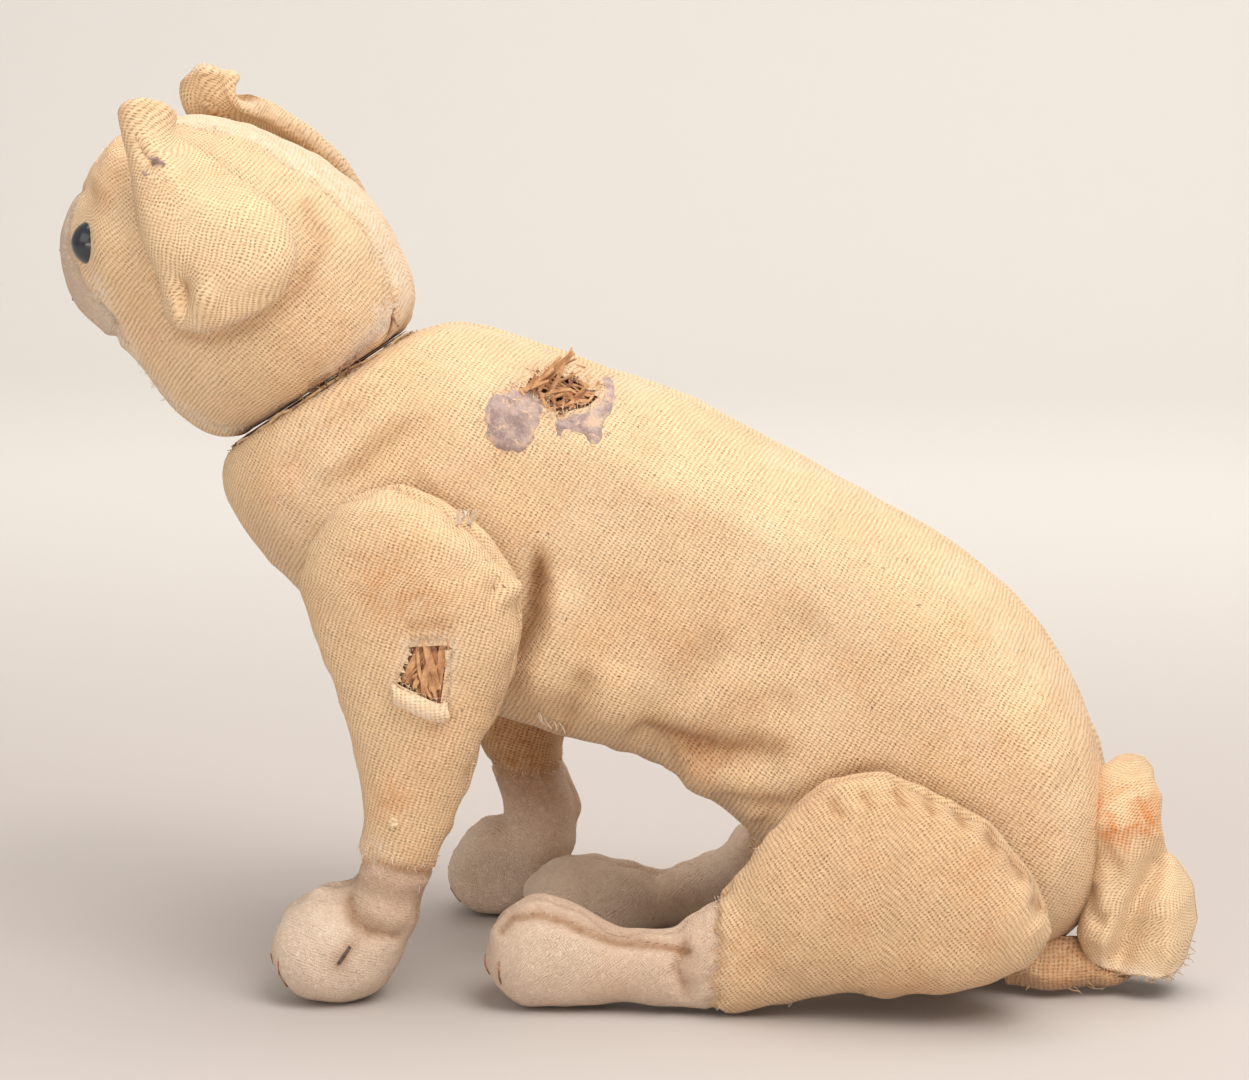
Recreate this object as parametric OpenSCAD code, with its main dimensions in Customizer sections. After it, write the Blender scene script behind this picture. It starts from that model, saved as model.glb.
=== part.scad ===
// Jointed plush cat: woven covers over wood wool, felt feet and face, cardboard disc joints on cotter pins.
// The cat faces -X, its left side is -Y and +Z is up. It sits on its feet at z = 0. Millimetres.

/* [Joints] */
// Height of the shoulder pins
shoulder_z = 83; // [81:0.5:85]
// Height of the hip pins
hip_z = 31; // [30:0.5:32]
// Lean of the neck disc from level, in degrees
neck_tilt = 33.5; // [32:0.5:35]
// Radius of the cardboard discs at the shoulders
shoulder_disc_r = 10.5; // [9:0.5:11]
// Radius of the cardboard discs at the hips
hip_disc_r = 9.5; // [9:0.5:10]
// Radius of the cardboard discs in the neck
neck_disc_r = 16; // [14:0.5:17]
// Radius of a cotter pin's shaft
pin_r = 1; // [0.8:0.1:1.1]

/* [Cloth] */
// Thickness of the woven cover and of the felt
cloth = 1; // [0.8:0.1:1.2]
// Half the width of the body between its flat sides
body_flat = 24; // [23:0.5:24]
// Half the width of the head's back strip, in degrees round the head
gusset_half_angle = 30; // [30:15:45]

/* [Eyes] */
// Radius of a glass eye
eye_r = 4.5; // [4:0.1:5]

/* [Hidden] */

cover_colour = "#d9bd8c";
felt_colour = "#cdae8b";
wool_colour = "#b98f5f";
card_colour = "#9a7b56";
steel_colour = "#8d8f92";
patch_colour = "#8f7f7a";
thread_colour = "#3a2c26";
glass_colour = "#15171a";

gap = 0.15;                     // between a cover and the stuffing behind it
joint_gap = 0.5;                // between the covers on the two sides of a joint
disc_t = 1.5;                   // thickness of a cardboard disc
washer_t = 0.5;                 // thickness of a steel washer
washer_r = 5;
hole_r = pin_r + 0.08;          // running clearance in discs and washers
cover_hole_r = pin_r + 0.4;     // hole that a pin passes in a cover
stack_gap = 0.1;                // between neighbours in a joint's stack
pin_head = 4;                   // room that a pin's eye or curled ends take
stitch = 0.5;                   // how far embroidery stands off the cloth

shoulder_x = -36;
hip_x = 56;
leg_y = 36.5;                   // middle of a leg's thickness
leg_flat = leg_y - body_flat - joint_gap;
neck_x = -61.4;
neck_z = 115.5;
along = [cos(neck_tilt), sin(neck_tilt)];     // backwards along the neck disc, in x and z
neck_up = [-sin(neck_tilt), cos(neck_tilt)];  // out of the neck disc, in x and z

// ---- Lofted soft shapes -------------------------------------------------------------------------
// A station is [first x, first z, second x, second z, half width, middle y]: two edge points of one cross
// section in side view, and the section's size across.

// A station of a section level with the neck disc: two distances along it, their heights over it, half width.
function neck_station(first_s, first_h, second_s, second_h, w) =
    let (a = [neck_x, neck_z] + along * first_s + neck_up * first_h,
         b = [neck_x, neck_z] + along * second_s + neck_up * second_h)
    [a[0], a[1], b[0], b[1], w, 0];

body_stations = [
    neck_station(cover_hole_r, 0, -cover_hole_r, 0, cover_hole_r),
    neck_station(11, 0, -11, 0, 11),
    neck_station(20, 0, -19.5, 0, 18.5),
    neck_station(22.5, -0.6, -22, -0.6, 21),
    [-34, 130, -81, 98, 23.5, 0],
    [-21, 126.5, -77.5, 87.5, 26, 0],
    [-5, 121, -67, 76, 28, 0],
    [15, 113.5, -48, 61, 29.5, 0],
    [35, 103.5, -24, 50, 29, 0],
    [55, 93, 0, 43.5, 28, 0],
    [72, 82, 17, 35.5, 28, 0],
    [84, 70, 30, 24, 29, 0],
    [91.5, 57, 44, 12, 29.5, 0],
    [96, 45, 59, 5.5, 28.5, 0],
    [98, 34, 74, 3.5, 22, 0],
    [97, 22, 85, 6.5, 12, 0],
    [94, 13, 94, 13, 0, 0]];

head_stations = [
    neck_station(-cover_hole_r, 0.6, cover_hole_r, 0.6, cover_hole_r),
    neck_station(-11, 0.6, 11, 0.6, 11),
    neck_station(-19.5, 0.8, 20, 0.8, 18.5),
    neck_station(-24.5, 5, 25.5, 5, 25),
    neck_station(-27.5, 13, 28, 13, 30),
    neck_station(-28, 22, 29, 22, 32.5),
    neck_station(-29.5, 31, 27.5, 31, 33),
    neck_station(-32, 40, 24.5, 40, 31.5),
    neck_station(-30.5, 49, 19.5, 49, 28),
    neck_station(-24.5, 56.5, 13, 56.5, 21.5),
    neck_station(-14.5, 61.8, 5, 61.8, 12),
    neck_station(-5, 63.8, -5, 63.8, 0)];

front_leg_top = [
    [-40, 102, -40, 102, 0, leg_y],
    [-49, 99.5, -30.5, 98.5, 8, leg_y],
    [-55, 93.5, -21.5, 92, 11, leg_y],
    [-58, 84, -15.5, 83, 12, leg_y],
    [-56, 74, -15, 72, 12, leg_y],
    [-51.5, 63, -18.5, 61.5, 11.5, leg_y],
    [-48, 52, -23, 50, 10.5, leg_y],
    [-46.5, 40, -27.5, 38, 9, leg_y]];

left_front_stations = concat(front_leg_top, [
    [-47, 30, -31.5, 27, 7.8, leg_y],
    [-48.5, 25, -34.5, 18.5, 7.6, leg_y],
    [-51, 22.5, -36.5, 11.5, 9, leg_y],
    [-56.5, 22.5, -41, 3, 11.5, leg_y],
    [-62, 18, -48.5, -1, 12, leg_y],
    [-65, 12, -56.5, -0.8, 9.5, leg_y],
    [-63.5, 4, -63.5, 4, 0, leg_y]]);

right_leg_swing = -13;          // the right front leg rests further back
function swung(s, turn) =
    let (f = [s[0] - shoulder_x, s[1] - shoulder_z], b = [s[2] - shoulder_x, s[3] - shoulder_z])
    [shoulder_x + f[0] * cos(turn) + f[1] * sin(turn), shoulder_z - f[0] * sin(turn) + f[1] * cos(turn),
     shoulder_x + b[0] * cos(turn) + b[1] * sin(turn), shoulder_z - b[0] * sin(turn) + b[1] * cos(turn),
     s[4], s[5]];

right_front_stations = concat([for (s = front_leg_top) swung(s, right_leg_swing)], [
    [-33, 32.5, -18, 32, 7.8, leg_y],
    [-31, 25.5, -14.5, 22.5, 7.6, leg_y],
    [-30.5, 21, -16, 12.5, 9, leg_y],
    [-34, 20.5, -21, 4, 11.5, leg_y],
    [-39, 16.5, -28, -1, 12, leg_y],
    [-42.5, 10.5, -35.5, -0.8, 9.5, leg_y],
    [-41, 3.5, -41, 3.5, 0, leg_y]]);

// The hind legs share their thighs; each foot has its own height and its own turn towards the middle.
thigh_stations = [
    [87.5, 18, 87.5, 18, 0, leg_y],
    [83.5, 29, 82.5, 11, 9, leg_y],
    [74.5, 39.5, 71, 6, 11.5, leg_y],
    [62, 46.5, 58, 4.3, 12, leg_y],
    [50, 48.5, 46.5, 5, 12, leg_y],
    [38.5, 42.5, 38.5, 2.6, 11, leg_y],
    [30, 31, 32, 0.8, 9.5, leg_y]];

function foot_stations(high, turn_in) = [
    [22.5, 22, 25.5, -1, 8.3, leg_y - turn_in * 0.12],
    [15, 16, 17, 0.6, 7.6, leg_y - turn_in * 0.32],
    [4, 15.5 * high, 6, 1.2, 7.6, leg_y - turn_in * 0.6],
    [-5.5, 20 * high, -5, -0.8, 9, leg_y - turn_in * 0.85],
    [-13.5, 21.5 * high, -13, -1, 9.5, leg_y - turn_in * 0.96],
    [-20, 17 * high, -19, 2.2, 7, leg_y - turn_in],
    [-22.5, 9 * high, -22.5, 9 * high, 0, leg_y - turn_in]];

left_hind_stations = concat(thigh_stations, foot_stations(1, 0));
right_hind_stations = concat(thigh_stations, foot_stations(0.8, 22));

function clamped(list, i) = list[max(0, min(len(list) - 1, i))];
function spline(list, u) =
    let (i = min(floor(u), len(list) - 2), t = u - i,
         p = clamped(list, i - 1), q = list[i], r = list[i + 1], s = clamped(list, i + 2))
    0.5 * (2 * q + (r - p) * t + (2 * p - 5 * q + 4 * r - s) * t * t + (3 * q - p - 3 * r + s) * t * t * t);

function power(value, exponent) = sign(value) * pow(abs(value), exponent);

// One ring of points. side is +1 or -1 for the side that the section's flat faces, or 0 for both.
// taper narrows the section towards its first edge.
function ring(s, count, flat, side, taper) =
    [for (k = [0:count - 1])
        let (angle = 360 * k / count,
             fore = power(cos(angle), 0.94),
             across = power(sin(angle), 0.88) * (1 - taper * max(0, fore)),
             wide = s[4] * across * (side * across > 0 ? 1.35 : 1),
             y = side == 0 ? max(-flat, min(flat, wide))
               : side * wide > flat ? side * flat : wide)
        [(s[0] + s[2]) / 2 + (s[0] - s[2]) / 2 * fore, s[5] + y, (s[1] + s[3]) / 2 + (s[1] - s[3]) / 2 * fore]];

// The tail is flat and limp: it hangs down the rump and flares to its open lower end.
tail_stations = [
    [99.5, 46, 99.5, 46, 0, -3],
    [103, 44.5, 97.3, 44.5, 8, -3],
    [105.5, 37, 99, 36.5, 10, -3.5],
    [107.5, 28, 99.2, 28, 11.5, -4],
    [111.5, 19, 98, 19, 12.5, -5],
    [114.5, 11, 95.5, 11, 13, -5.5],
    [111, 4.5, 92.5, 4.5, 12, -5.5],
    [104, 0.8, 91, 1, 8, -5.5],
    [97, 0.7, 97, 0.7, 0, -5.5]];

// The grid of a whole loft, with steps rings to each station.
function loft(stations, steps, count, flat, side, taper = 0) =
    [for (i = [0:(len(stations) - 1) * steps]) ring(spline(stations, i / steps), count, flat, side, taper)];

function middle(points) = [for (p = points) 1] * points / len(points);
function unit(v) = norm(v) < 1e-9 ? [0, 0, 0] : v / norm(v);
function is_pole(points) = norm(points[0] - points[floor(len(points) / 2)]) < 1e-6;

// The grid moved out by amount along its own normals, or in where amount is negative.
function grown(grid, amount) =
    let (rows = len(grid), count = len(grid[0]))
    [for (i = [0:rows - 1])
        let (before = grid[max(0, i - 1)], after = grid[min(rows - 1, i + 1)])
        [for (k = [0:count - 1])
            let (spin = grid[i][(k + 1) % count] - grid[i][(k + count - 1) % count],
                 run = after[k] - before[k],
                 normal = is_pole(grid[i])
                     ? unit(middle(grid[i]) - middle(i == 0 ? after : before))
                     : unit(cross(run, spin)))
            grid[i][k] + amount * normal]];

function sound(face) = face[0] != face[1] && face[1] != face[2] && face[2] != face[0];
function halves(a, b, c, d) = [for (f = [[a, b, c], [a, c, d]]) if (sound(f)) f];

// A closed solid from a grid whose ends are poles or flat openings.
module solid(grid) {
    rows = len(grid);
    count = len(grid[0]);
    index = function (i, k) is_pole(grid[i]) ? i * count : i * count + k % count;
    sides = [for (i = [0:rows - 2]) for (k = [0:count - 1])
        each halves(index(i, k), index(i, k + 1), index(i + 1, k + 1), index(i + 1, k))];
    first_end = is_pole(grid[0]) ? [] : [[for (k = [count - 1:-1:0]) index(0, k)]];
    last_end = is_pole(grid[rows - 1]) ? [] : [[for (k = [0:count - 1]) index(rows - 1, k)]];
    polyhedron([for (r = grid) each r], concat(sides, first_end, last_end), convexity = 6);
}

// A cloth panel: the cells of the grid for which keep(i, k) is true, t thick inwards.
module panel(grid, keep, t = cloth) {
    inner = grown(grid, -t);
    rows = len(grid);
    count = len(grid[0]);
    under = rows * count;
    cell = function (i, k) i >= 0 && i < rows - 1 && keep(i, (k + count) % count);
    index = function (i, k) is_pole(grid[i]) ? i * count : i * count + (k + count) % count;
    kept = [for (i = [0:rows - 2]) for (k = [0:count - 1]) if (cell(i, k)) [i, k]];
    outside = [for (c = kept) let (i = c[0], k = c[1])
        each halves(index(i, k), index(i, k + 1), index(i + 1, k + 1), index(i + 1, k))];
    inside = [for (f = outside) [f[2] + under, f[1] + under, f[0] + under]];
    walls = [for (c = kept) let (i = c[0], k = c[1])
        for (edge = [[i - 1, k, index(i, k + 1), index(i, k)], [i + 1, k, index(i + 1, k), index(i + 1, k + 1)],
                     [i, k - 1, index(i, k), index(i + 1, k)], [i, k + 1, index(i + 1, k + 1), index(i, k + 1)]])
        if (!cell(edge[0], edge[1]) && edge[2] != edge[3])
        each halves(edge[2], edge[3], edge[3] + under, edge[2] + under)];
    polyhedron(concat([for (r = grid) each r], [for (r = inner) each r]), concat(outside, inside, walls),
               convexity = 10);
}

body_count = 28;
body_grid = loft(body_stations, 2, body_count, body_flat, 0);
head_count = 24;
head_grid = loft(head_stations, 2, head_count, 60, 0, 0.25);
leg_count = 18;
leg_side = [-1, 1, -1, 1];
leg_stations = [left_front_stations, right_front_stations, left_hind_stations, right_hind_stations];
// Rings on the right are listed the other way round from those on the left, so that no grid is inside out.
// The sole of each foot is flat on the ground.
leg_grids = [for (leg = [0:3])
    [for (r = loft(leg_stations[leg], 1, leg_count, leg_flat, -1))
        [for (k = [0:leg_count - 1])
            let (p = r[leg_side[leg] < 0 ? k : (leg_count - k) % leg_count])
            [p[0], leg_side[leg] * p[1], max(0, p[2])]]]];
leg_x = [shoulder_x, shoulder_x, hip_x, hip_x];
leg_z = [shoulder_z, shoulder_z, hip_z, hip_z];
leg_disc_r = [shoulder_disc_r, shoulder_disc_r, hip_disc_r, hip_disc_r];
foot_row = [8, 8, 7, 7];        // the station where the felt foot is sewn on

// ---- Places -------------------------------------------------------------------------------------

// Puts children, drawn along +Z from a joint's cover outwards, at a leg's pin. reach is +1 into the leg.
module at_leg_pin(leg, reach)
    translate([leg_x[leg], leg_side[leg] * body_flat, leg_z[leg]])
        rotate([-90 * leg_side[leg] * reach, 0, 0]) children();

module at_neck(up)
    translate([neck_x, 0, neck_z]) rotate([0, -neck_tilt, 0]) rotate([up > 0 ? 0 : 180, 0, 0]) children();

leg_start = joint_gap + cloth + stack_gap;     // first disc face in the leg, from the body's flat side
body_start = cloth + stack_gap;                // first disc face in the body
head_start = 0.6 + cloth + stack_gap;          // first disc face in the head, from the neck plane

module disc(r, start) translate([0, 0, start]) difference() {
    cylinder(h = disc_t, r = r, $fn = 64);
    translate([0, 0, -1]) cylinder(h = disc_t + 2, r = hole_r, $fn = 32);
}

module washer(start) translate([0, 0, start + disc_t + stack_gap]) difference() {
    cylinder(h = washer_t, r = washer_r, $fn = 48);
    translate([0, 0, -1]) cylinder(h = washer_t + 2, r = hole_r, $fn = 32);
}

// The groove that a disc presses in the cloth beside it.
module disc_groove(r, start) translate([0, 0, start - stack_gap / 2]) cylinder(h = disc_t, r = r + 0.2, $fn = 64);

function stack(start) = start + disc_t + washer_t + 2 * stack_gap;

// The room that one side of a joint takes in the stuffing.
module joint_room(r, start) {
    translate([0, 0, -2]) cylinder(h = start + disc_t + 2 + stack_gap, r = r + 0.3, $fn = 64);
    translate([0, 0, -2]) cylinder(h = stack(start) + pin_head + 2.3, r = washer_r + 0.4, $fn = 48);
}

// A split pin: its shaft, a ring for a head on the far side and two ends curled over on the near side.
module cotter_pin(head_at, ends_at) {
    ring_r = 1.3;
    wire_r = 0.6;
    curl_r = 1.7;
    ring_z = head_at + ring_r + wire_r + stack_gap;
    curl_z = -ends_at - wire_r - stack_gap;
    translate([0, 0, curl_z]) cylinder(h = ring_z - ring_r - curl_z, r = pin_r, $fn = 32);
    translate([0, 0, ring_z]) rotate([90, 0, 0])
        rotate_extrude($fn = 48) translate([ring_r, 0]) circle(r = wire_r, $fn = 20);
    for (turn = [0, 180]) rotate([0, 0, turn]) translate([curl_r + 0.2, 0, curl_z]) rotate([90, 0, 0])
        rotate([0, 0, 180]) rotate_extrude(angle = 165, $fn = 48) translate([curl_r, 0]) circle(r = wire_r, $fn = 20);
}

eye_place = [-102.5, 19.5, 146];
shank_r = 0.5;
shank_length = 7;
// Puts children, drawn inwards along +Z, at an eye.
module at_eye(side)
    translate([eye_place[0], side * eye_place[1], eye_place[2]]) rotate([side * 90, 0, side * -40]) children();
module eye_room(side) at_eye(side) {
    sphere(r = eye_r + 0.1, $fn = 48);
    cylinder(h = eye_r + shank_length + 0.2, r = shank_r + 0.1, $fn = 24);
}

// ---- Body ---------------------------------------------------------------------------------------

// Outlines in side view of the wool patch and of the torn hole beside it.
module patch_outline() {
    translate([-19, 113]) circle(r = 6.2, $fn = 24);
    hull() {
        translate([-8.5, 112.5]) circle(r = 3, $fn = 20);
        translate([-4.5, 115]) circle(r = 4.3, $fn = 20);
    }
}
module tear_outline() hull() {
    translate([-19.5, 118]) circle(r = 1.4, $fn = 16);
    translate([-12.5, 118.8]) circle(r = 3.8, $fn = 20);
    translate([-5.5, 118]) circle(r = 1.8, $fn = 16);
}
module left_prism() translate([0, -4, 0]) rotate([90, 0, 0]) linear_extrude(height = 30) children();

module body_pins_out() for (leg = [0:3]) at_leg_pin(leg, -1) {
    translate([0, 0, -2]) cylinder(h = 6, r = cover_hole_r, $fn = 32);
    disc_groove(leg_disc_r[leg], body_start);
}

module body_left_panel() color(cover_colour) difference() {
    panel(body_grid, function (i, k) k >= body_count / 2);
    body_pins_out();
    left_prism() patch_outline();
    left_prism() tear_outline();
}
module body_right_panel() color(cover_colour) difference() {
    panel(body_grid, function (i, k) k < body_count / 2);
    body_pins_out();
}
module back_wool_patch() color(patch_colour) intersection() {
    panel(body_grid, function (i, k) k >= body_count / 2 && i > 6 && i < 20);
    left_prism() difference() {
        patch_outline();
        offset(r = 0.15) tear_outline();
    }
}
module body_wood_wool() color(wool_colour) difference() {
    solid(grown(body_grid, -cloth - gap));
    for (leg = [0:3]) at_leg_pin(leg, -1) joint_room(leg_disc_r[leg], body_start);
    at_neck(-1) joint_room(neck_disc_r, body_start);
}
// Shavings that stick out of the torn hole in the back.
module tuft_sticks() for (k = [0:6])
    translate([-17 + 1.6 * k, -13.9, 119]) rotate([37, 0, 0]) rotate([9 - 9 * (k % 3), -24 + 16 * (k % 4), 0])
        translate([-0.5, -0.2, -1]) cube([1, 0.4, 6.5]);
module back_wood_wool_tuft() color(wool_colour) difference() {
    intersection() {
        tuft_sticks();
        left_prism() offset(r = -0.3) tear_outline();
    }
    solid(grown(body_grid, -cloth - gap));
}

module neck_body_disc() color(card_colour) at_neck(-1) disc(neck_disc_r, body_start);
module shoulder_body_discs() color(card_colour) for (leg = [0, 1]) at_leg_pin(leg, -1) disc(shoulder_disc_r, body_start);
module hip_body_discs() color(card_colour) for (leg = [2, 3]) at_leg_pin(leg, -1) disc(hip_disc_r, body_start);
module body_washers() color(steel_colour) {
    for (leg = [0:3]) at_leg_pin(leg, -1) washer(body_start);
    at_neck(-1) washer(body_start);
}

module tail_cover() color(cover_colour) solid(loft(tail_stations, 1, 16, 40, 0));

// ---- Head ---------------------------------------------------------------------------------------

half_gusset = gusset_half_angle / 360 * head_count;
function in_gusset(k) = abs(k + 0.5 - head_count / 2) < half_gusset;
function in_muzzle(i, k) = i >= 12 && i < 19 && (k < 3 || k >= head_count - 3);

module head_sides(left) difference() {
    panel(head_grid, function (i, k) (k >= head_count / 2) == left && !in_gusset(k) && !in_muzzle(i, k));
    for (side = [-1, 1]) eye_room(side);
}
module head_left_panel() color(cover_colour) head_sides(true);
module head_right_panel() color(cover_colour) head_sides(false);
module head_gusset() color(cover_colour) panel(head_grid, function (i, k) in_gusset(k));
module muzzle_felt() color(felt_colour) difference() {
    panel(head_grid, function (i, k) in_muzzle(i, k));
    for (side = [-1, 1]) eye_room(side);
}
module head_wood_wool() color(wool_colour) difference() {
    solid(grown(head_grid, -cloth - gap));
    at_neck(1) joint_room(neck_disc_r, head_start);
    for (side = [-1, 1]) eye_room(side);
}

// An ear is a flap sewn on down its front edge and laid back on the head, with its top corner pinched up.
// The points are the middles of the balls that round its rim.
ear_root = [[-86, 31, 148], [-82, 35, 137], [-76, 35.5, 133.5], [-66, 35, 138]];
left_ear_rim = [[-61.5, 34, 148], [-68, 31, 157], [-80, 25.5, 165.5], [-90.5, 26, 171.5], [-89, 24.5, 164]];
right_ear_rim = [[-61, 33, 150], [-62, 30, 156], [-71, 28, 165.5], [-84, 27, 173], [-90, 27, 176.5], [-91, 26, 166]];
module ear(rim, side) color(cover_colour) difference() {
    hull() for (p = concat(ear_root, rim)) translate([p[0], side * p[1], p[2]]) sphere(r = 1.7, $fn = 20);
    solid(grown(head_grid, 0.3));
}
module left_ear() ear(left_ear_rim, -1);
module right_ear() ear(right_ear_rim, 1);

module eye(side) color(glass_colour) at_eye(side) sphere(r = eye_r, $fn = 48);
module left_eye() eye(-1);
module right_eye() eye(1);
module eye_shanks() color(steel_colour) for (side = [-1, 1]) at_eye(side)
    translate([0, 0, eye_r + 0.05]) cylinder(h = shank_length, r = shank_r, $fn = 24);

// Embroidery lies on the felt of the muzzle.
module embroidery() color(thread_colour) intersection() {
    panel(grown(head_grid, stitch), function (i, k) in_muzzle(i, k), stitch - 0.05);
    translate([-130, 0, 0]) rotate([90, 0, 90]) linear_extrude(height = 40) children();
}
module nose_stitching() embroidery() polygon([[-3.5, 143], [3.5, 143], [0, 138.5]]);
module mouth_stitching() embroidery() union() {
    translate([-0.4, 134.5]) square([0.8, 3.5]);
    for (side = [-1, 1]) translate([0, 134.5]) rotate(side * 60) translate([-0.4, -5.5]) square([0.8, 5.8]);
}

module head_disc() color(card_colour) at_neck(1) disc(neck_disc_r, head_start);
module head_washer() color(steel_colour) at_neck(1) washer(head_start);
module neck_cotter_pin() color(steel_colour) at_neck(1) cotter_pin(stack(head_start), stack(body_start));

// ---- Legs ---------------------------------------------------------------------------------------

// The cells of a ring that face out, away from the body.
function is_outer(leg, k) = (k < leg_count / 2) == (leg_side[leg] < 0);

// The torn hole in the left front leg, in side view.
module hole_outline()
    polygon([[-34.5, 73.5], [-28, 74.5], [-26.5, 73], [-27.5, 62.5], [-28.5, 61.5], [-37, 65.5], [-35, 70.5]]);

module leg_pin_out(leg) at_leg_pin(leg, 1) {
    cylinder(h = 5, r = cover_hole_r, $fn = 32);
    disc_groove(leg_disc_r[leg], leg_start);
}

module leg_outer(leg) color(cover_colour)
    panel(leg_grids[leg], function (i, k) i < foot_row[leg] && is_outer(leg, k));
module leg_inner(leg) color(cover_colour) difference() {
    panel(leg_grids[leg], function (i, k) i < foot_row[leg] && !is_outer(leg, k));
    leg_pin_out(leg);
}
module leg_foot(leg) color(felt_colour) panel(leg_grids[leg], function (i, k) i >= foot_row[leg]);
module leg_wool(leg) color(wool_colour) difference() {
    solid(grown(leg_grids[leg], -cloth - gap));
    at_leg_pin(leg, 1) joint_room(leg_disc_r[leg], leg_start);
}
module leg_disc(leg) color(card_colour) at_leg_pin(leg, 1) disc(leg_disc_r[leg], leg_start);
module leg_washer(leg) color(steel_colour) at_leg_pin(leg, 1) washer(leg_start);
module leg_pin(leg) color(steel_colour) at_leg_pin(leg, 1) cotter_pin(stack(leg_start), stack(body_start));

toe = [[-62, 7], [-40, 6.5], [-21, 8], [-21, 7]];          // the front of each foot, in x and z
toe_y = [-leg_y, leg_y, -leg_y, leg_y - 22];
module leg_claws(leg) color(thread_colour) intersection() {
    panel(grown(leg_grids[leg], stitch), function (i, k) i > foot_row[leg] + 2, stitch - 0.05);
    for (k = [-1:1]) translate([toe[leg][0] - 6, toe_y[leg] + 3.6 * k - 0.4, toe[leg][1] - 2.5]) cube([12, 0.8, 7]);
}

// ---- Assembly -----------------------------------------------------------------------------------

module leg_nodes(leg, name) {
    leg_panel_with_hole(leg);
    leg_inner(leg);
    leg_foot(leg);
    leg_wool(leg);
    leg_disc(leg);
    leg_washer(leg);
    leg_pin(leg);
    leg_claws(leg);
}
// Only the left front leg is torn.
module leg_panel_with_hole(leg) {
    if (leg == 0) color(cover_colour) difference() {
        leg_outer(leg);
        translate([0, -40, 0]) rotate([90, 0, 0]) linear_extrude(height = 20) hole_outline();
    }
    else leg_outer(leg);
}

body_left_panel();
body_right_panel();
body_wood_wool();
back_wool_patch();
back_wood_wool_tuft();
neck_body_disc();
shoulder_body_discs();
hip_body_discs();
body_washers();
tail_cover();
head_left_panel();
head_right_panel();
head_gusset();
muzzle_felt();
head_wood_wool();
left_ear();
right_ear();
left_eye();
right_eye();
eye_shanks();
nose_stitching();
mouth_stitching();
head_disc();
head_washer();
neck_cotter_pin();
leg_nodes(0, "left_front_leg");
leg_nodes(1, "right_front_leg");
leg_nodes(2, "left_hind_leg");
leg_nodes(3, "right_hind_leg");
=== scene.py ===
"""Looks of the jointed plush cat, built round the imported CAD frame.

Shapes are worked out in millimetres on the CAD's own surface, and mesh_object() turns them into metres.
Side-view places are (x, z) in the row frame: the cat faces -X and its left side, -Y, faces the camera.
"""

import math

import bpy
import numpy as np
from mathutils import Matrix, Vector
from mathutils.bvhtree import BVHTree
from mathutils.kdtree import KDTree


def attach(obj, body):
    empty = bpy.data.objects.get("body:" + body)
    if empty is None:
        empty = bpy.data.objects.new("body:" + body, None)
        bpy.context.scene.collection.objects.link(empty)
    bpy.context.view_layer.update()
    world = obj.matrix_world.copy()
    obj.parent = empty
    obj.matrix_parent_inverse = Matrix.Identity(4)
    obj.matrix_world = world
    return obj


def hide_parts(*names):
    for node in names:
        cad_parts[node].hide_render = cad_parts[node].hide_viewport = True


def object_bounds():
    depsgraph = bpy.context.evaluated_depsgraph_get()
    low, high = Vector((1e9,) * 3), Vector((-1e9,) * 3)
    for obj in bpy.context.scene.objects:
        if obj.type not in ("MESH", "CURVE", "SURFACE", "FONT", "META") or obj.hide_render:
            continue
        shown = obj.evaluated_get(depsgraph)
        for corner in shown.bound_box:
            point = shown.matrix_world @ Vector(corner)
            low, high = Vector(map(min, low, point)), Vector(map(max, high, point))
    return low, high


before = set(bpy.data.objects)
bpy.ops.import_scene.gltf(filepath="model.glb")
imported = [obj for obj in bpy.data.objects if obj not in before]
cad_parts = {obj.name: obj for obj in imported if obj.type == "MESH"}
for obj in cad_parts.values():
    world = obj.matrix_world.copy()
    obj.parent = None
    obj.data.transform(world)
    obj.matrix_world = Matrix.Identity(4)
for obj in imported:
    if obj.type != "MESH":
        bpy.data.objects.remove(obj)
cad_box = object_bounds()

MM = 0.001
CLOTH = 1.0                      # thickness of the covers
RIB = 0.92                       # pitch of the weave's paired warp threads
WEFT = 0.60                      # pitch of its weft threads
HOLE_DEPTH = 1.9                 # how far the stuffing lies under the cover where it shows through a hole
BODY_GAP, HEAD_GAP = 0.45, 0.60  # how far the two covers stay from the neck's plane
LEGS = ("left_front_leg", "right_front_leg", "left_hind_leg", "right_hind_leg")
LEFT_FRONT, RIGHT_FRONT, LEFT_HIND, RIGHT_HIND = range(4)
rng = np.random.default_rng(7)


# ---- Reading the frame --------------------------------------------------------------------------

class Surface:
    """The outer surface of some CAD covers, in millimetres, with the node that each face belongs to."""

    def __init__(self, nodes, backup=()):
        points, faces, self.owner = [], [], []
        self.backup = Surface(backup) if backup else None
        for index, node in enumerate(nodes):
            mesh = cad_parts[node].data
            mesh.calc_loop_triangles()
            start = len(points)
            points += [v.co / MM for v in mesh.vertices]
            faces += [[start + v for v in t.vertices] for t in mesh.loop_triangles]
            self.owner += [index] * len(mesh.loop_triangles)
        self.tree = BVHTree.FromPolygons(points, faces)

    def out(self, origin, direction):
        """(point, owner) where a ray from inside leaves the cover, or None."""
        hit, normal, face, _ = self.tree.ray_cast(Vector(origin), Vector(direction))
        if hit is None:
            found = self.backup and self.backup.out(origin, direction)
            return (found[0], 0) if found else None
        away = normal if normal.dot(Vector(direction)) > 0 else -normal
        return np.array(hit + away * CLOTH), self.owner[face]


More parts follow.
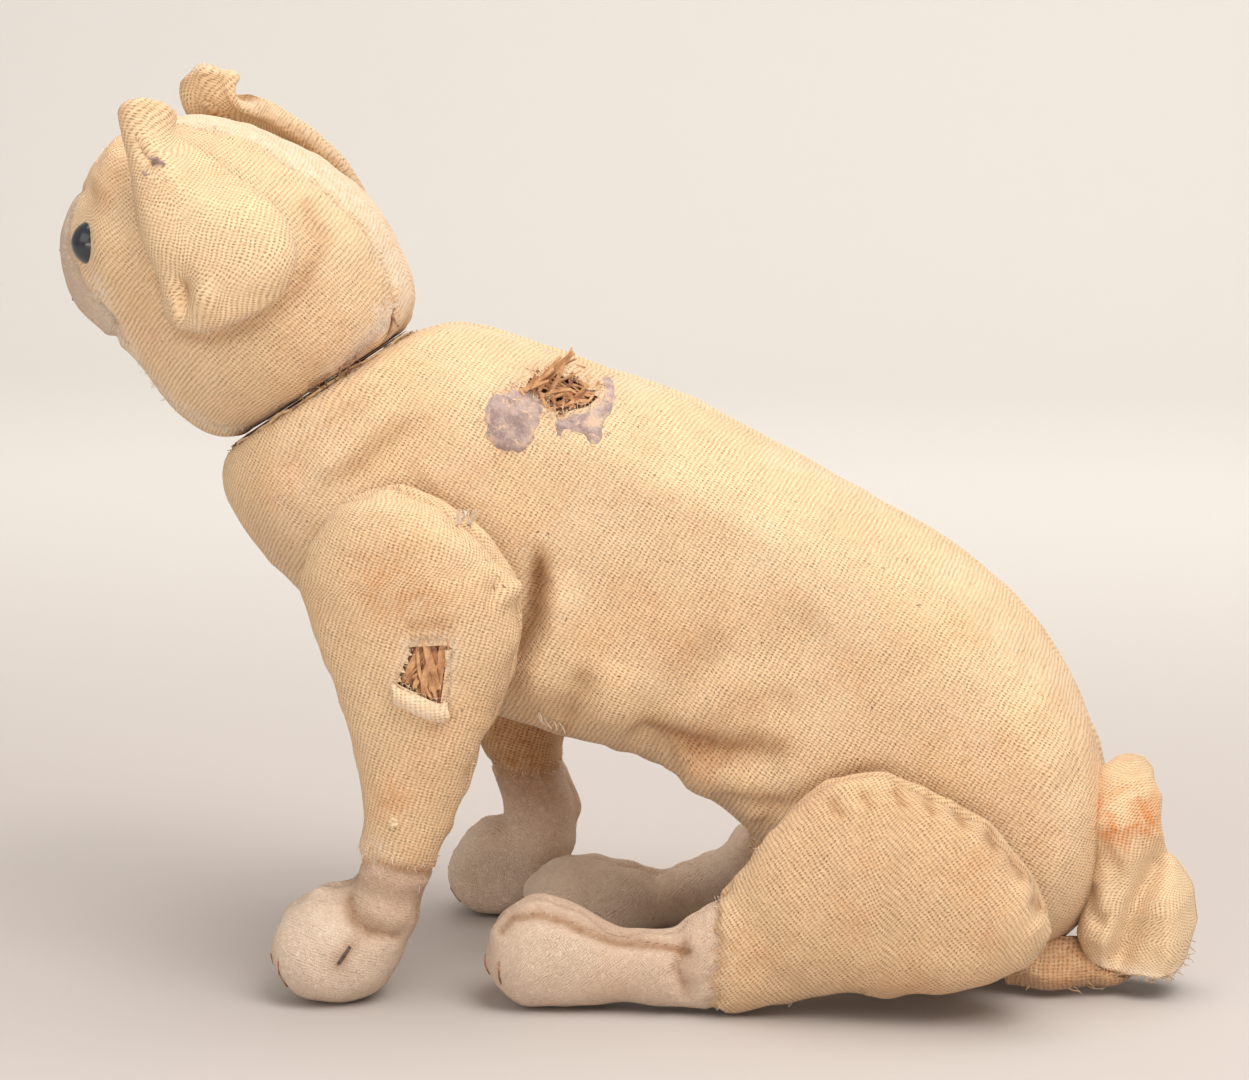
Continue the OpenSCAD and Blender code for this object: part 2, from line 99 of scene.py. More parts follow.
def between(a, b, c, d, t):
    """Points at share t of the way from b to c on the smooth curve that also passes a and d."""
    bend = (2 * a - 5 * b + 4 * c - d) * t**2
    return 0.5 * (2 * b + (c - a) * t + bend + (3 * b - a - 3 * c + d) * t**3)


def path_frames(points, count):
    """Points evenly along a smooth path, with each one's tangent."""
    p = np.array(points, float)
    ends = np.vstack([2 * p[0] - p[1], p, 2 * p[-1] - p[-2]])
    fine = []
    for i in range(len(p) - 1):
        a, b, c, d = ends[i:i + 4]
        t = np.linspace(0, 1, 24, endpoint=False)[:, None]
        fine.append(between(a, b, c, d, t))
    fine = np.vstack(fine + [p[-1:]])
    run = np.concatenate([[0], np.cumsum(np.linalg.norm(np.diff(fine, axis=0), axis=1))])
    at = np.linspace(0, run[-1], count)
    places = np.stack([np.interp(at, run, fine[:, k]) for k in range(3)], 1)
    tangents = np.gradient(places, axis=0)
    return places, tangents / np.linalg.norm(tangents, axis=1, keepdims=True)


def cast(surface, axis, rows, count, fan=16):
    """A closed grid of points on a surface: rays fan out of both ends of an axis and stand square along it.
    Column 0 and column count / 2 lie in the plane that the panels' seams lie in."""
    places, tangents = path_frames(axis, rows - 2 * fan)
    rays = []
    for a in np.linspace(0, 90, fan, endpoint=False):
        rays.append((places[0], -tangents[0] * math.cos(math.radians(a)), math.sin(math.radians(a)),
            tangents[0]))
    for place, tangent in zip(places, tangents):
        rays.append((place, np.zeros(3), 1.0, tangent))
    for a in np.linspace(90, 0, fan + 1)[1:]:
        rays.append((places[-1], tangents[-1] * math.cos(math.radians(a)), math.sin(math.radians(a)),
            tangents[-1]))
    grid = np.full((len(rays), count, 3), np.nan)
    owner = np.full((len(rays), count), -1)
    for i, (place, along, share, tangent) in enumerate(rays):
        side = np.array([0, 1.0, 0]) - tangent[1] * tangent
        side /= np.linalg.norm(side)
        up = np.cross(side, tangent)
        for k in range(count):
            turn = 2 * math.pi * k / count
            direction = along + share * (up * math.cos(turn) + side * math.sin(turn))
            hit = surface.out(place, direction / np.linalg.norm(direction))
            if hit:
                grid[i, k], owner[i, k] = hit
    return fill_gaps(grid, owner)


def fill_gaps(grid, owner):
    """Gives the rays that went through a hole their neighbours' mean."""
    while np.isnan(grid).any():
        gap = np.isnan(grid[..., 0])
        near = [np.roll(grid, 1, 1), np.roll(grid, -1, 1), np.vstack([grid[:1], grid[:-1]]),
                np.vstack([grid[1:], grid[-1:]])]
        owners = [np.roll(owner, 1, 1), np.roll(owner, -1, 1), np.vstack([owner[:1], owner[:-1]]),
                  np.vstack([owner[1:], owner[-1:]])]
        known = np.stack([~np.isnan(n[..., 0]) for n in near])
        total = np.nansum(np.stack(near), axis=0)
        ready = gap & known.any(0)
        grid[ready] = total[ready] / known.sum(0)[ready][:, None]
        for n, k in zip(owners, known):
            take = ready & k & (owner < 0)
            owner[take] = n[take]
    return grid, owner


# ---- Grids --------------------------------------------------------------------------------------

def length_along(grid, axis):
    """Running length along one axis of a grid."""
    steps = np.linalg.norm(np.diff(grid, axis=axis), axis=2)
    first = np.zeros_like(np.take(steps, [0], axis))
    return np.concatenate([first, np.cumsum(steps, axis=axis)], axis=axis)


def respace(grid, owner):
    """Spaces the rows evenly, and the columns evenly between the two seam columns."""
    rows, count, _ = grid.shape
    run = length_along(grid, 0).mean(1)
    at = np.linspace(0, run[-1], rows)
    low = np.clip(np.searchsorted(run, at, side="right") - 1, 0, rows - 2)
    t = ((at - run[low]) / np.maximum(run[low + 1] - run[low], 1e-9))[:, None]
    grid = grid[low] * (1 - t[..., None]) + grid[low + 1] * t[..., None]
    owner = np.where(t < 0.5, owner[low], owner[low + 1])
    half = count // 2
    out, who = grid.copy(), owner.copy()
    for i in range(rows):
        for start in (0, half):
            ks = (start + np.arange(half + 1)) % count
            line = grid[i, ks]
            run = np.concatenate([[0], np.cumsum(np.linalg.norm(np.diff(line, axis=0), axis=1))])
            if run[-1] < 1e-6:
                continue
            at = np.linspace(0, run[-1], half + 1)[:-1]
            for c in range(3):
                out[i, ks[:-1], c] = np.interp(at, run, line[:, c])
            who[i, ks[:-1]] = owner[i, ks][np.clip(np.searchsorted(run, at), 0, half)]
    return out, who


def blurred(field):
    """One gentle smoothing step along both axes of a grid, closed round each ring."""
    round_ring = (np.roll(field, 1, 1) + np.roll(field, -1, 1)) / 2
    along = field.copy()
    along[1:-1] = (field[:-2] + field[2:]) / 2
    return (round_ring + along) / 2


def fair(grid, passes):
    """Takes the facets out of a grid without shrinking it."""
    for _ in range(passes):
        for step in (0.62, -0.64):
            grid = grid + step * (blurred(grid) - grid)
            grid[0], grid[-1] = grid[1].mean(0), grid[-2].mean(0)
    return grid


def softened(field, passes):
    for _ in range(passes):
        field = blurred(field[..., None])[..., 0]
    return field


def normals_of(grid):
    run = np.gradient(grid, axis=0)
    spin = (np.roll(grid, -1, 1) - np.roll(grid, 1, 1)) / 2
    n = np.cross(run, spin)
    size = np.linalg.norm(n, axis=2, keepdims=True)
    n = n / np.maximum(size, 1e-9)
    for end, near in ((0, 2), (-1, -3)):
        mean = n[near].mean(0)
        n[end] = mean / np.linalg.norm(mean)
    middle = grid.mean((0, 1))
    return n if ((grid - middle) * n).sum() > 0 else -n


def chart(grid, angle):
    """Flat cloth coordinates of a two-panel cover, in millimetres, the same on both panels and turned so that
    the first runs across the weave's ribs. angle is the ribs' wave direction in side view, below level."""
    rows, count, _ = grid.shape
    half, quarter = count // 2, count // 4
    flat = grid[..., [0, 2]]
    mid = flat[:, quarter]
    step = np.diff(grid[:, quarter], axis=0)
    heading = np.diff(mid, axis=0)
    heading /= np.maximum(np.linalg.norm(heading, axis=1, keepdims=True), 1e-9)
    size = np.linalg.norm(step, axis=1, keepdims=True)
    middle = np.vstack([[0, 0], np.cumsum(heading * size, axis=0)])
    middle += mid[rows // 2] - middle[rows // 2]
    across = flat[:, 0] - flat[:, half]
    across /= np.maximum(np.linalg.norm(across, axis=1, keepdims=True), 1e-9)
    for _ in range(12):
        across[1:-1] = (across[:-2] + 2 * across[1:-1] + across[2:]) / 4
    run = length_along(np.concatenate([grid, grid[:, :1]], 1), 1)
    place = np.zeros((rows, count, 2))
    for k in range(count):
        side = k if k <= half else count - k
        near = run[:, quarter] if k <= half else run[:, count] - run[:, count - quarter]
        far = run[:, k] if k <= half else run[:, count] - run[:, k]
        place[:, k] = middle + (near - far)[:, None] * across
    a, b = math.radians(angle), math.radians(angle + 88)
    return np.stack([place[..., 0] * math.cos(a) - place[..., 1] * math.sin(a),
                     place[..., 0] * math.cos(b) - place[..., 1] * math.sin(b)], 2)


def ripple(points, scale, seed, waves=14):
    """Smooth lumps of about unit size whose features are scale millimetres across."""
    r = np.random.default_rng(seed)
    directions = r.normal(size=(waves, 3))
    directions *= (2 * math.pi / (scale * r.uniform(1.4, 3.4, (waves, 1)))) / np.linalg.norm(directions,
        axis=1, keepdims=True)
    phase = r.uniform(0, 2 * math.pi, waves)
    return np.sin(points @ directions.T + phase).sum(-1) / math.sqrt(waves / 2)


def to_line(points, line):
    """(distance, share along) of points from an open line of points, in 2-D or 3-D."""
    line = np.array(line, float)
    best = np.full(points.shape[:-1], 1e9)
    share = np.zeros(points.shape[:-1])
    lengths = np.linalg.norm(np.diff(line, axis=0), axis=1)
    total, before = lengths.sum(), 0.0
    for a, b, size in zip(line[:-1], line[1:], lengths):
        t = np.clip(((points - a) @ (b - a)) / size**2, 0, 1)
        d = np.linalg.norm(points - a - t[..., None] * (b - a), axis=-1)
        closer = d < best
        best = np.where(closer, d, best)
        share = np.where(closer, (before + t * size) / total, share)
        before += size
    return best, share


def bell(distance, width):
    return np.exp(-(distance / width) ** 2)


def nearest_distance(points, targets, most=12.0):
    """Distance from each grid point to the nearest target."""
    tree = KDTree(len(targets))
    for i, t in enumerate(targets):
        tree.insert(t, i)
    tree.balance()
    flat = points.reshape(-1, 3)
    return np.array([min(most, tree.find(p)[2]) for p in flat]).reshape(points.shape[:-1])


def edges_between(grid, owner):
    """Points on the lines where a grid passes from one node to another."""
    found = []
    right = np.roll(grid, -1, 1)
    differ = owner != np.roll(owner, -1, 1)
    found.append(((grid + right) / 2)[differ])
    differ = owner[:-1] != owner[1:]
    found.append(((grid[:-1] + grid[1:]) / 2)[differ])
    return np.vstack(found)


# ---- Making objects -----------------------------------------------------------------------------

def mesh_object(name, points, faces, material, body, replaces=(), attributes=None, smooth=True):
    mesh = bpy.data.meshes.new(name)
    mesh.from_pydata((np.asarray(points) * MM).tolist(), [], [list(map(int, f)) for f in faces])
    mesh.validate()
    for key, values in (attributes or {}).items():
        values = np.asarray(values, float)
        if values.ndim == 1:
            layer = mesh.attributes.new(key, "FLOAT", "POINT")
            layer.data.foreach_set("value", values)
        else:
            full = np.zeros((len(values), 3))
            full[:, :values.shape[1]] = values
            layer = mesh.attributes.new(key, "FLOAT_VECTOR", "POINT")
            layer.data.foreach_set("vector", full.ravel())
    mesh.materials.append(material)
    if smooth:
        mesh.shade_smooth()
    obj = bpy.data.objects.new(name, mesh)
    bpy.context.scene.collection.objects.link(obj)
    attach(obj, body)
    if replaces:
        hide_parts(*replaces)
    return obj


def grid_faces(rows, count, keep=None):
    """Quads of a closed grid, with its two poles left as one point each."""
    faces = []
    for i in range(rows - 1):
        for k in range(count):
            if keep is not None and not keep[i, k]:
                continue
            n = (k + 1) % count
            if i == 0:
                faces.append((0, i * count + count + k, i * count + count + n))
            elif i == rows - 2:
                faces.append((i * count + k, (rows - 1) * count, i * count + n))
            else:
                faces.append((i * count + k, (i + 1) * count + k, (i + 1) * count + n, i * count + n))
    return faces


def compact(points, faces, attributes):
    """Leaves out the points that no face uses."""
    used = np.unique([v for f in faces for v in f])
    new = {int(v): i for i, v in enumerate(used)}
    return (np.asarray(points)[used], [[new[int(v)] for v in f] for f in faces],
            {k: np.asarray(v)[used] for k, v in attributes.items()})


# ---- Materials ----------------------------------------------------------------------------------

class Shader:
    """A short way to wire a procedural material."""

    def __init__(self, name):
        self.material = bpy.data.materials.new(name)
        self.material.use_nodes = True
        self.tree = self.material.node_tree
        self.tree.nodes.clear()
        self.out = self.node("ShaderNodeOutputMaterial")
        self.surface = self.node("ShaderNodeBsdfPrincipled")
        self.link(self.surface.outputs[0], self.out.inputs[0])

    def node(self, kind, **settings):
        node = self.tree.nodes.new(kind)
        for key, value in settings.items():
            setattr(node, key, value)
        return node

    def link(self, source, target):
        self.tree.links.new(source, target)

    def put(self, socket, value):
        if isinstance(value, bpy.types.NodeSocket):
            self.link(value, socket)
        else:
            socket.default_value = value

    def times(self, a, b, clamp=False):
        return self.math("MULTIPLY", a, b, clamp=clamp)

    def plus(self, a, b, clamp=False):
        return self.math("ADD", a, b, clamp=clamp)

    def minus(self, a, b):
        return self.math("SUBTRACT", a, b)

    def math(self, operation, a, b=None, c=None, clamp=False):
        node = self.node("ShaderNodeMath", operation=operation, use_clamp=clamp)
        for socket, value in zip(node.inputs, (a, b, c)):
            if value is not None:
                self.put(socket, value)
        return node.outputs[0]

    def attribute(self, name, output="Fac"):
        return self.node("ShaderNodeAttribute", attribute_name=name).outputs[output]


    def noise(self, vector, scale, detail=2.0, roughness=0.5, distortion=0.0):
        node = self.node("ShaderNodeTexNoise")
        self.put(node.inputs["Vector"], vector)
        self.put(node.inputs["Scale"], scale)
        self.put(node.inputs["Detail"], detail)
        self.put(node.inputs["Roughness"], roughness)
        self.put(node.inputs["Distortion"], distortion)
        return node.outputs[0]

    def place(self):
        """Object coordinates, in millimetres."""
        node = self.node("ShaderNodeVectorMath", operation="SCALE")
        self.link(self.node("ShaderNodeTexCoord").outputs["Object"], node.inputs[0])
        node.inputs["Scale"].default_value = 1 / MM
        return node.outputs[0]

    def steps(self, value, low, high):
        """0 below low and 1 above high."""
        node = self.node("ShaderNodeMapRange", interpolation_type="SMOOTHSTEP")
        self.put(node.inputs["Value"], value)
        node.inputs["From Min"].default_value, node.inputs["From Max"].default_value = low, high
        return node.outputs[0]

    def mix(self, share, a, b, blend="MIX"):
        node = self.node("ShaderNodeMix", data_type="RGBA", blend_type=blend)
        self.put(node.inputs[0], share)
        for socket, value in ((node.inputs[6], a), (node.inputs[7], b)):
            self.put(socket, (*value, 1.0) if isinstance(value, tuple) else value)
        return node.outputs[2]

    def bump(self, height, distance, strength=1.0, below=None):
        node = self.node("ShaderNodeBump")
        node.inputs["Strength"].default_value = strength
        node.inputs["Distance"].default_value = distance
        self.put(node.inputs["Height"], height)
        if below is not None:
            self.link(below, node.inputs["Normal"])
        return node.outputs[0]

    def finish(self, colour, roughness=0.9, normal=None, **sockets):
        self.put(self.surface.inputs["Base Color"], (*colour, 1.0) if isinstance(colour, tuple) else colour)
        self.put(self.surface.inputs["Roughness"], roughness)
        if normal is not None:
            self.link(normal, self.surface.inputs["Normal"])
        for key, value in sockets.items():
            self.surface.inputs[key.replace("_", " ")].default_value = value
        return self.material


def wave(s, coordinate, pitch):
    """A thread's rounded profile across a coordinate: 1 on its crest and 0 between threads."""
    return s.math("ABSOLUTE", s.math("SINE", s.times(coordinate, math.pi / pitch)))


def thread_tone(s, coordinate, pitch, other, seed):
    """A slightly different tone for each thread, which drifts along it."""
    number = s.math("FLOOR", s.math("DIVIDE", coordinate, pitch))
    join = s.node("ShaderNodeCombineXYZ")
    s.put(join.inputs[0], s.times(number, 7.31))
    s.put(join.inputs[1], s.times(other, 0.11))
    join.inputs[2].default_value = seed
    return s.noise(join.outputs[0], 1.0, 1.0)


def cloth_material(name, light, dark, felt, felt_dark, rib=RIB, weft=WEFT):
    """Worn woven cover that turns to felt where the felt attribute is 1, with stains, soiling, painted shade
    and painted light.
    """
    s = Shader(name)
    place = s.place()
    cloth = s.node("ShaderNodeSeparateXYZ")
    s.link(s.attribute("cloth", "Vector"), cloth.inputs[0])
    wobble_u = s.minus(s.noise(place, 0.30, 3.0, 0.6), 0.5)
    wobble_v = s.minus(s.noise(place, 0.37, 3.0, 0.6), 0.5)
    fine_u = s.minus(s.noise(place, 1.1, 2.0, 0.6), 0.5)
    fine_v = s.minus(s.noise(place, 1.3, 2.0, 0.6), 0.5)
    u = s.plus(cloth.outputs[0], s.plus(s.times(wobble_u, 1.2), s.times(fine_u, 0.40)))
    v = s.plus(cloth.outputs[1], s.plus(s.times(wobble_v, 1.1), s.times(fine_v, 0.40)))
    ribs, wefts = wave(s, u, rib), wave(s, v, weft)
    join = s.node("ShaderNodeCombineXYZ")
    s.put(join.inputs[0], s.math("FLOOR", s.math("DIVIDE", u, rib)))
    s.put(join.inputs[1], s.math("FLOOR", s.math("DIVIDE", v, weft)))
    cell = s.node("ShaderNodeTexWhiteNoise", noise_dimensions="2D")
    s.link(join.outputs[0], cell.inputs["Vector"])
    luck = cell.outputs["Value"]
    openness = s.steps(s.noise(place, 0.15, 4.0, 0.65), 0.36, 0.66)
    height = s.plus(s.times(s.math("POWER", ribs, 0.6), 0.50), s.times(s.math("POWER", wefts, 0.6), 0.42))
    height = s.plus(height, s.times(luck, 0.22))
    across_ribs = s.steps(s.minus(1.0, ribs), 0.12, 0.62)
    across_wefts = s.steps(s.minus(1.0, wefts), 0.06, 0.46)
    spread = s.plus(0.02, s.plus(s.times(openness, 0.30), s.times(s.math("POWER", luck, 1.6), 1.0)))
    hole = s.times(s.times(across_ribs, across_wefts), spread, clamp=True)
    shade = s.plus(s.times(s.math("POWER", s.minus(1.0, ribs), 1.5), 0.29),
                   s.times(s.math("POWER", s.minus(1.0, wefts), 1.5), 0.27), clamp=True)
    woven = s.mix(shade, light, dark)
    # Painted highlight: the crests of the threads are lightened in patches
    crest = s.times(s.steps(s.math("MAXIMUM", ribs, wefts), 0.80, 1.0),
        s.steps(s.noise(place, 1.6, 3.0, 0.7), 0.40, 0.62))
    woven = s.mix(s.times(crest, 0.42), woven, tuple(min(1.0, c * 1.16) for c in light))
    tone_u, tone_v = thread_tone(s, u, rib, v, 1.0), thread_tone(s, v, weft, u, 5.0)
    tones = s.plus(s.times(tone_u, 0.4), s.plus(s.times(tone_v, 0.35), s.times(luck, 0.25)))
    woven = s.mix(s.times(s.steps(tones, 0.66, 0.30), 0.26), woven, dark)
    woven = s.mix(s.times(hole, 0.80), woven, tuple(c * 0.50 for c in dark))
    wool = s.times(s.steps(s.noise(place, 3.2, 3.0, 0.7), 0.50, 0.80), 0.30)
    woven = s.mix(wool, woven, tuple(min(1.0, c * 1.10) for c in light))

    fibres = s.noise(place, 2.6, 4.0, 0.7, 0.6)
    fine = s.times(wave(s, u, rib * 0.45), wave(s, v, weft * 0.9))
    felted = s.mix(s.steps(fibres, 0.35, 0.70), felt_dark, felt)
    felted = s.mix(s.times(s.minus(1.0, fine), s.plus(0.15, s.times(luck, 0.45))), felted,
        tuple(c * 0.85 for c in felt_dark))
    pill = s.times(s.steps(s.noise(place, 0.9, 3.0, 0.6), 0.55, 0.72), 0.35)
    felted = s.mix(pill, felted, tuple(min(1.0, c * 1.25) for c in felt))

    is_felt = s.plus(s.attribute("felt"), s.times(s.minus(s.noise(place, 0.8, 3.0), 0.5), 0.5))
    is_felt = s.steps(is_felt, 0.35, 0.65)
    colour = s.mix(is_felt, woven, felted)

    # Bare fluff that is left of the pile, also painted light on one shaded foot; soft stains, also painted
    # shade inside the tail; soiling, also painted shade in folds, creases, dents, joins and on a shaded leg;
    # and small dark specks
    fluff_and_light = s.times(s.attribute("fluff_and_light"), s.steps(s.noise(place, 0.55, 4.0, 0.7), 0.30, 0.62))
    colour = s.mix(s.times(fluff_and_light, 0.75, clamp=True), colour, (0.83, 0.70, 0.56))
    mottle = s.noise(place, 0.045, 4.0, 0.6)
    colour = s.mix(s.times(s.steps(mottle, 0.42, 0.72), 0.16), colour, (0.76, 0.48, 0.28), "MULTIPLY")
    stain_and_shade = s.times(s.attribute("stain_and_shade"), s.steps(s.noise(place, 0.22, 5.0, 0.7, 0.6), 0.30, 0.66))
    colour = s.mix(s.times(stain_and_shade, 0.50, clamp=True), colour, (0.86, 0.50, 0.30), "MULTIPLY")
    dirt_and_shade = s.times(s.attribute("dirt_and_shade"), s.plus(0.45, s.noise(place, 0.5, 4.0, 0.7)))
    colour = s.mix(s.times(dirt_and_shade, 0.8, clamp=True), colour, (0.42, 0.25, 0.12), "MULTIPLY")
    speck = s.steps(s.noise(place, 0.85, 2.0, 0.4), 0.745, 0.79)
    colour = s.mix(s.times(speck, 0.55), colour, (0.10, 0.07, 0.05))

    soft_height = s.times(s.noise(place, 1.7, 5.0, 0.75), 1.0)
    mix_height = s.node("ShaderNodeMix", data_type="FLOAT")
    s.put(mix_height.inputs[0], is_felt)
    s.put(mix_height.inputs[2], height)
    s.put(mix_height.inputs[3], s.plus(soft_height, s.times(fine, 0.8)))
    normal = s.bump(s.noise(place, 0.35, 4.0, 0.65), 0.0010, 0.35)
    normal = s.bump(mix_height.outputs[0], 0.00022, 0.9, normal)
    return s.finish(colour, 0.93, normal, Sheen_Weight=0.12, Sheen_Roughness=0.5, Specular_IOR_Level=0.18)


def fibre_material(name, base, dark, scale=0.8, sheen=0.3, roughness=0.9, spec=0.15):
    """Threads, fluff and shavings: two tones that change from strand to strand."""
    s = Shader(name)
    place = s.place()
    colour = s.mix(s.steps(s.noise(place, scale, 3.0, 0.6), 0.34, 0.66), dark, base)
    normal = s.bump(s.noise(place, scale * 5, 3.0, 0.6), 0.0002, 0.5)
    return s.finish(colour, roughness, normal, Sheen_Weight=sheen, Specular_IOR_Level=spec)


woven_cover = cloth_material("woven_cover", (0.84, 0.61, 0.375), (0.52, 0.33, 0.17), (0.87, 0.69, 0.54),
    (0.68, 0.51, 0.38))
leather_card = fibre_material("card", (0.36, 0.25, 0.14), (0.24, 0.16, 0.09), 0.4, 0.0)
wool_shavings = fibre_material("wood_wool", (0.68, 0.39, 0.19), (0.42, 0.20, 0.09), 0.40, 0.1, 0.7, 0.25)
# Painted shade: the stuffing deep in the holes is a darker copy of the wood wool's colour
painted_shade_filling = fibre_material("painted_shade_filling", (0.34, 0.17, 0.09), (0.12, 0.06, 0.03), 0.6, 0.0)


def patch_material():
    """Worn grey-brown wool that thins to tan, with fine nap."""
    s = Shader("wool_patch")
    place = s.place()
    colour = s.mix(s.steps(s.noise(place, 0.42, 3.0, 0.6), 0.36, 0.62), (0.47, 0.34, 0.295),
        (0.31, 0.215, 0.195))
    colour = s.mix(s.times(s.steps(s.noise(place, 0.45, 4.0, 0.70, 0.5), 0.50, 0.64), 0.80), colour,
        (0.72, 0.48, 0.30))
    colour = s.mix(s.times(s.steps(s.noise(place, 2.8, 3.0, 0.7), 0.48, 0.68), 0.45), colour,
        (0.66, 0.54, 0.48))
    normal = s.bump(s.noise(place, 2.2, 4.0, 0.75), 0.0003, 0.8)
    return s.finish(colour, 0.95, normal, Sheen_Weight=0.4, Specular_IOR_Level=0.12)


patch_wool = patch_material()
dark_thread = fibre_material("dark_thread", (0.16, 0.10, 0.07), (0.05, 0.035, 0.03), 1.2, 0.3)
pale_thread = fibre_material("pale_thread", (0.86, 0.78, 0.66), (0.66, 0.52, 0.38), 1.0, 0.4)
cream_thread = fibre_material("cream_thread", (0.88, 0.70, 0.48), (0.72, 0.52, 0.32), 1.0, 0.1)
tan_thread = fibre_material("tan_thread", (0.62, 0.42, 0.22), (0.40, 0.25, 0.12), 1.0, 0.3)
purple_thread = fibre_material("purple_thread", (0.44, 0.31, 0.28), (0.30, 0.19, 0.17), 1.0, 0.3)
brown_thread = fibre_material("brown_thread", (0.42, 0.23, 0.14), (0.22, 0.11, 0.07), 0.9, 0.0)
red_shavings = fibre_material("red_shavings", (0.42, 0.18, 0.09), (0.15, 0.07, 0.035), 0.7, 0.0, 0.7, 0.25)


def plain_material(name, colour, roughness, metallic=0.0, coat=0.0):
    s = Shader(name)
    tone = s.mix(s.steps(s.noise(s.place(), 0.5, 3.0), 0.3, 0.7), colour, tuple(c * 0.7 for c in colour))
    material = s.finish(tone, roughness)
    s.surface.inputs["Metallic"].default_value = metallic
    s.surface.inputs["Coat Weight"].default_value = coat
    return material


steel = plain_material("steel", (0.42, 0.41, 0.40), 0.42, 1.0)
eye_glass = plain_material("eye_glass", (0.020, 0.024, 0.032), 0.24, 0.0, 0.4)


# ---- Stuffed parts ------------------------------------------------------------------------------

def finer(grid, owner):
    """Twice as many rows and columns."""
    rows, count, _ = grid.shape
    out = np.zeros((2 * rows - 1, count, 3))
    out[::2], out[1::2] = grid, (grid[:-1] + grid[1:]) / 2
    wide = np.zeros((2 * rows - 1, 2 * count, 3))
    wide[:, ::2], wide[:, 1::2] = out, (out + np.roll(out, -1, 1)) / 2
    who = np.repeat(np.repeat(owner, 2, 0)[:2 * rows - 1], 2, 1)
    return wide, who


class Stuffed:
    """A stuffed part's outer cover as a closed grid, with what is pressed, sewn or soiled on it, and the
    light and shade painted on it.
    """

    def __init__(self, nodes, axis, rows, count, angle, passes=6, fan=16, backup=()):
        grid, owner = cast(Surface(nodes, backup), axis, rows, count, fan)
        grid, owner = respace(grid, owner)
        grid, owner = finer(fair(grid, passes), owner)
        self.nodes = nodes
        self.grid = fair(grid, 2)
        self.owner = owner
        self.cloth = chart(self.grid, angle)
        self.rows, self.count = grid.shape[:2]
        self.rest = self.grid.copy()
        share = [softened((self.owner == n).astype(float), 9) for n in range(len(nodes))]
        self.owner = np.argmax(share, axis=0)
        self.normals = normals_of(self.grid)
        zero = np.zeros(grid.shape[:2])
        self.fields = {"felt": zero.copy(), "fluff_and_light": zero.copy(), "stain_and_shade": zero.copy(), "dirt_and_shade": zero.copy()}
        self.keep = np.ones((self.rows, self.count), bool)

    def flat(self):
        return self.rest[..., [0, 2]]

    def mask(self, side):
        """1 on one side of the part (-1 its left, 1 its right) and 0 on the other; 0 means both."""
        if side == 0:
            return np.ones(self.rest.shape[:2])
        middle = self.rest[..., 1].mean() if abs(self.rest[..., 1].mean()) > 20 else 0
        return np.clip(0.5 + side * (self.rest[..., 1] - middle) / 6, 0, 1)

    def move(self, amount):
        """Moves each point out along its normal."""
        self.grid += amount[..., None] * self.normals

    def stroke(self, line, width, depth, side=-1, ends=0.25, lip=0.0):
        """Presses a valley along a side-view line, or raises a ridge where depth is negative."""
        distance, share = to_line(self.flat(), line)
        fade = np.clip(np.minimum(share, 1 - share) / max(ends, 1e-6), 0, 1) if ends else 1.0
        profile = bell(distance, width) - lip * bell(distance - 1.9 * width, width * 0.8)
        self.move(-depth * profile * fade * self.mask(side))

    def spot(self, field, place, radius, amount, side=-1):
        distance = np.linalg.norm(self.flat() - np.array(place, float), axis=-1)
        self.fields[field] += amount * bell(distance, radius) * self.mask(side)

    def smear(self, field, line, width, amount, side=-1):
        distance, _ = to_line(self.flat(), line)
        self.fields[field] += amount * bell(distance, width) * self.mask(side)

    def seam(self, points, depth=0.9, width=1.2, pucker=0.35, pitch=3.2, reach=5.0, dirt_and_shade=0.5, seed=1):
        """A sewn groove through the given points, with the cloth gathered beside it."""
        distance = nearest_distance(self.rest, points, 14.0)
        self.move(-depth * bell(distance, width))
        along = ripple(self.rest, pitch, seed)
        self.move(pucker * along * bell(distance - width * 1.4, reach * 0.6))
        self.fields["dirt_and_shade"] += dirt_and_shade * bell(distance, width * 1.1)

    def cut(self, outline, side=-1):
        """Cuts a side-view outline out of one side, and moves the points beside it onto the outline."""
        flat, facing = self.flat(), (self.rest[..., 1] - self.rest[..., 1].mean()) * side > 0
        rim = (edge_distance(flat, outline) < 0.72) & facing
        self.keep &= ~(inside(flat, outline) & facing & ~rim)
        self.grid[rim] += np.insert(onto_edge(flat[rim], outline) - flat[rim], 1, 0, axis=1)

    def lumps(self, scale, amount, seed):
        self.move(amount * ripple(self.rest, scale, seed))

    def near(self, x, z, side=-1):
        """(point, normal) on the cover nearest a side-view place."""
        gap = np.linalg.norm(self.grid[..., [0, 2]] - np.array([x, z]), axis=-1)
        gap = gap + np.where(self.normals[..., 1] * side > 0.05, 0, 1e3)
        i, k = np.unravel_index(np.argmin(gap), gap.shape)
        return self.grid[i, k], self.normals[i, k]

    def build(self, material, body, groups):
        """Makes the piece or pieces: groups is {name: (slot, replaced nodes, owner numbers)}; the slot is not
        used.
        """
        self.grid[0], self.grid[-1] = self.grid[0].mean(0), self.grid[-1].mean(0)
        made = {}
        attributes = {"cloth": self.cloth.reshape(-1, 2)}
        attributes.update({k: np.clip(v, 0, 1).ravel() for k, v in self.fields.items()})
        for piece, (slot, replaced, owners) in groups.items():
            keep = self.keep & (np.isin(self.owner, owners) if owners else True)
            faces = grid_faces(self.rows, self.count, keep)
            points, faces, kept = compact(self.grid.reshape(-1, 3), faces, attributes)
            made[piece] = mesh_object(piece, points, faces, material, body, replaced, kept)
        return made


def seam_points(part, columns):
    return np.concatenate([part.rest[:, c % part.count] for c in columns])


# ---- Small things -------------------------------------------------------------------------------

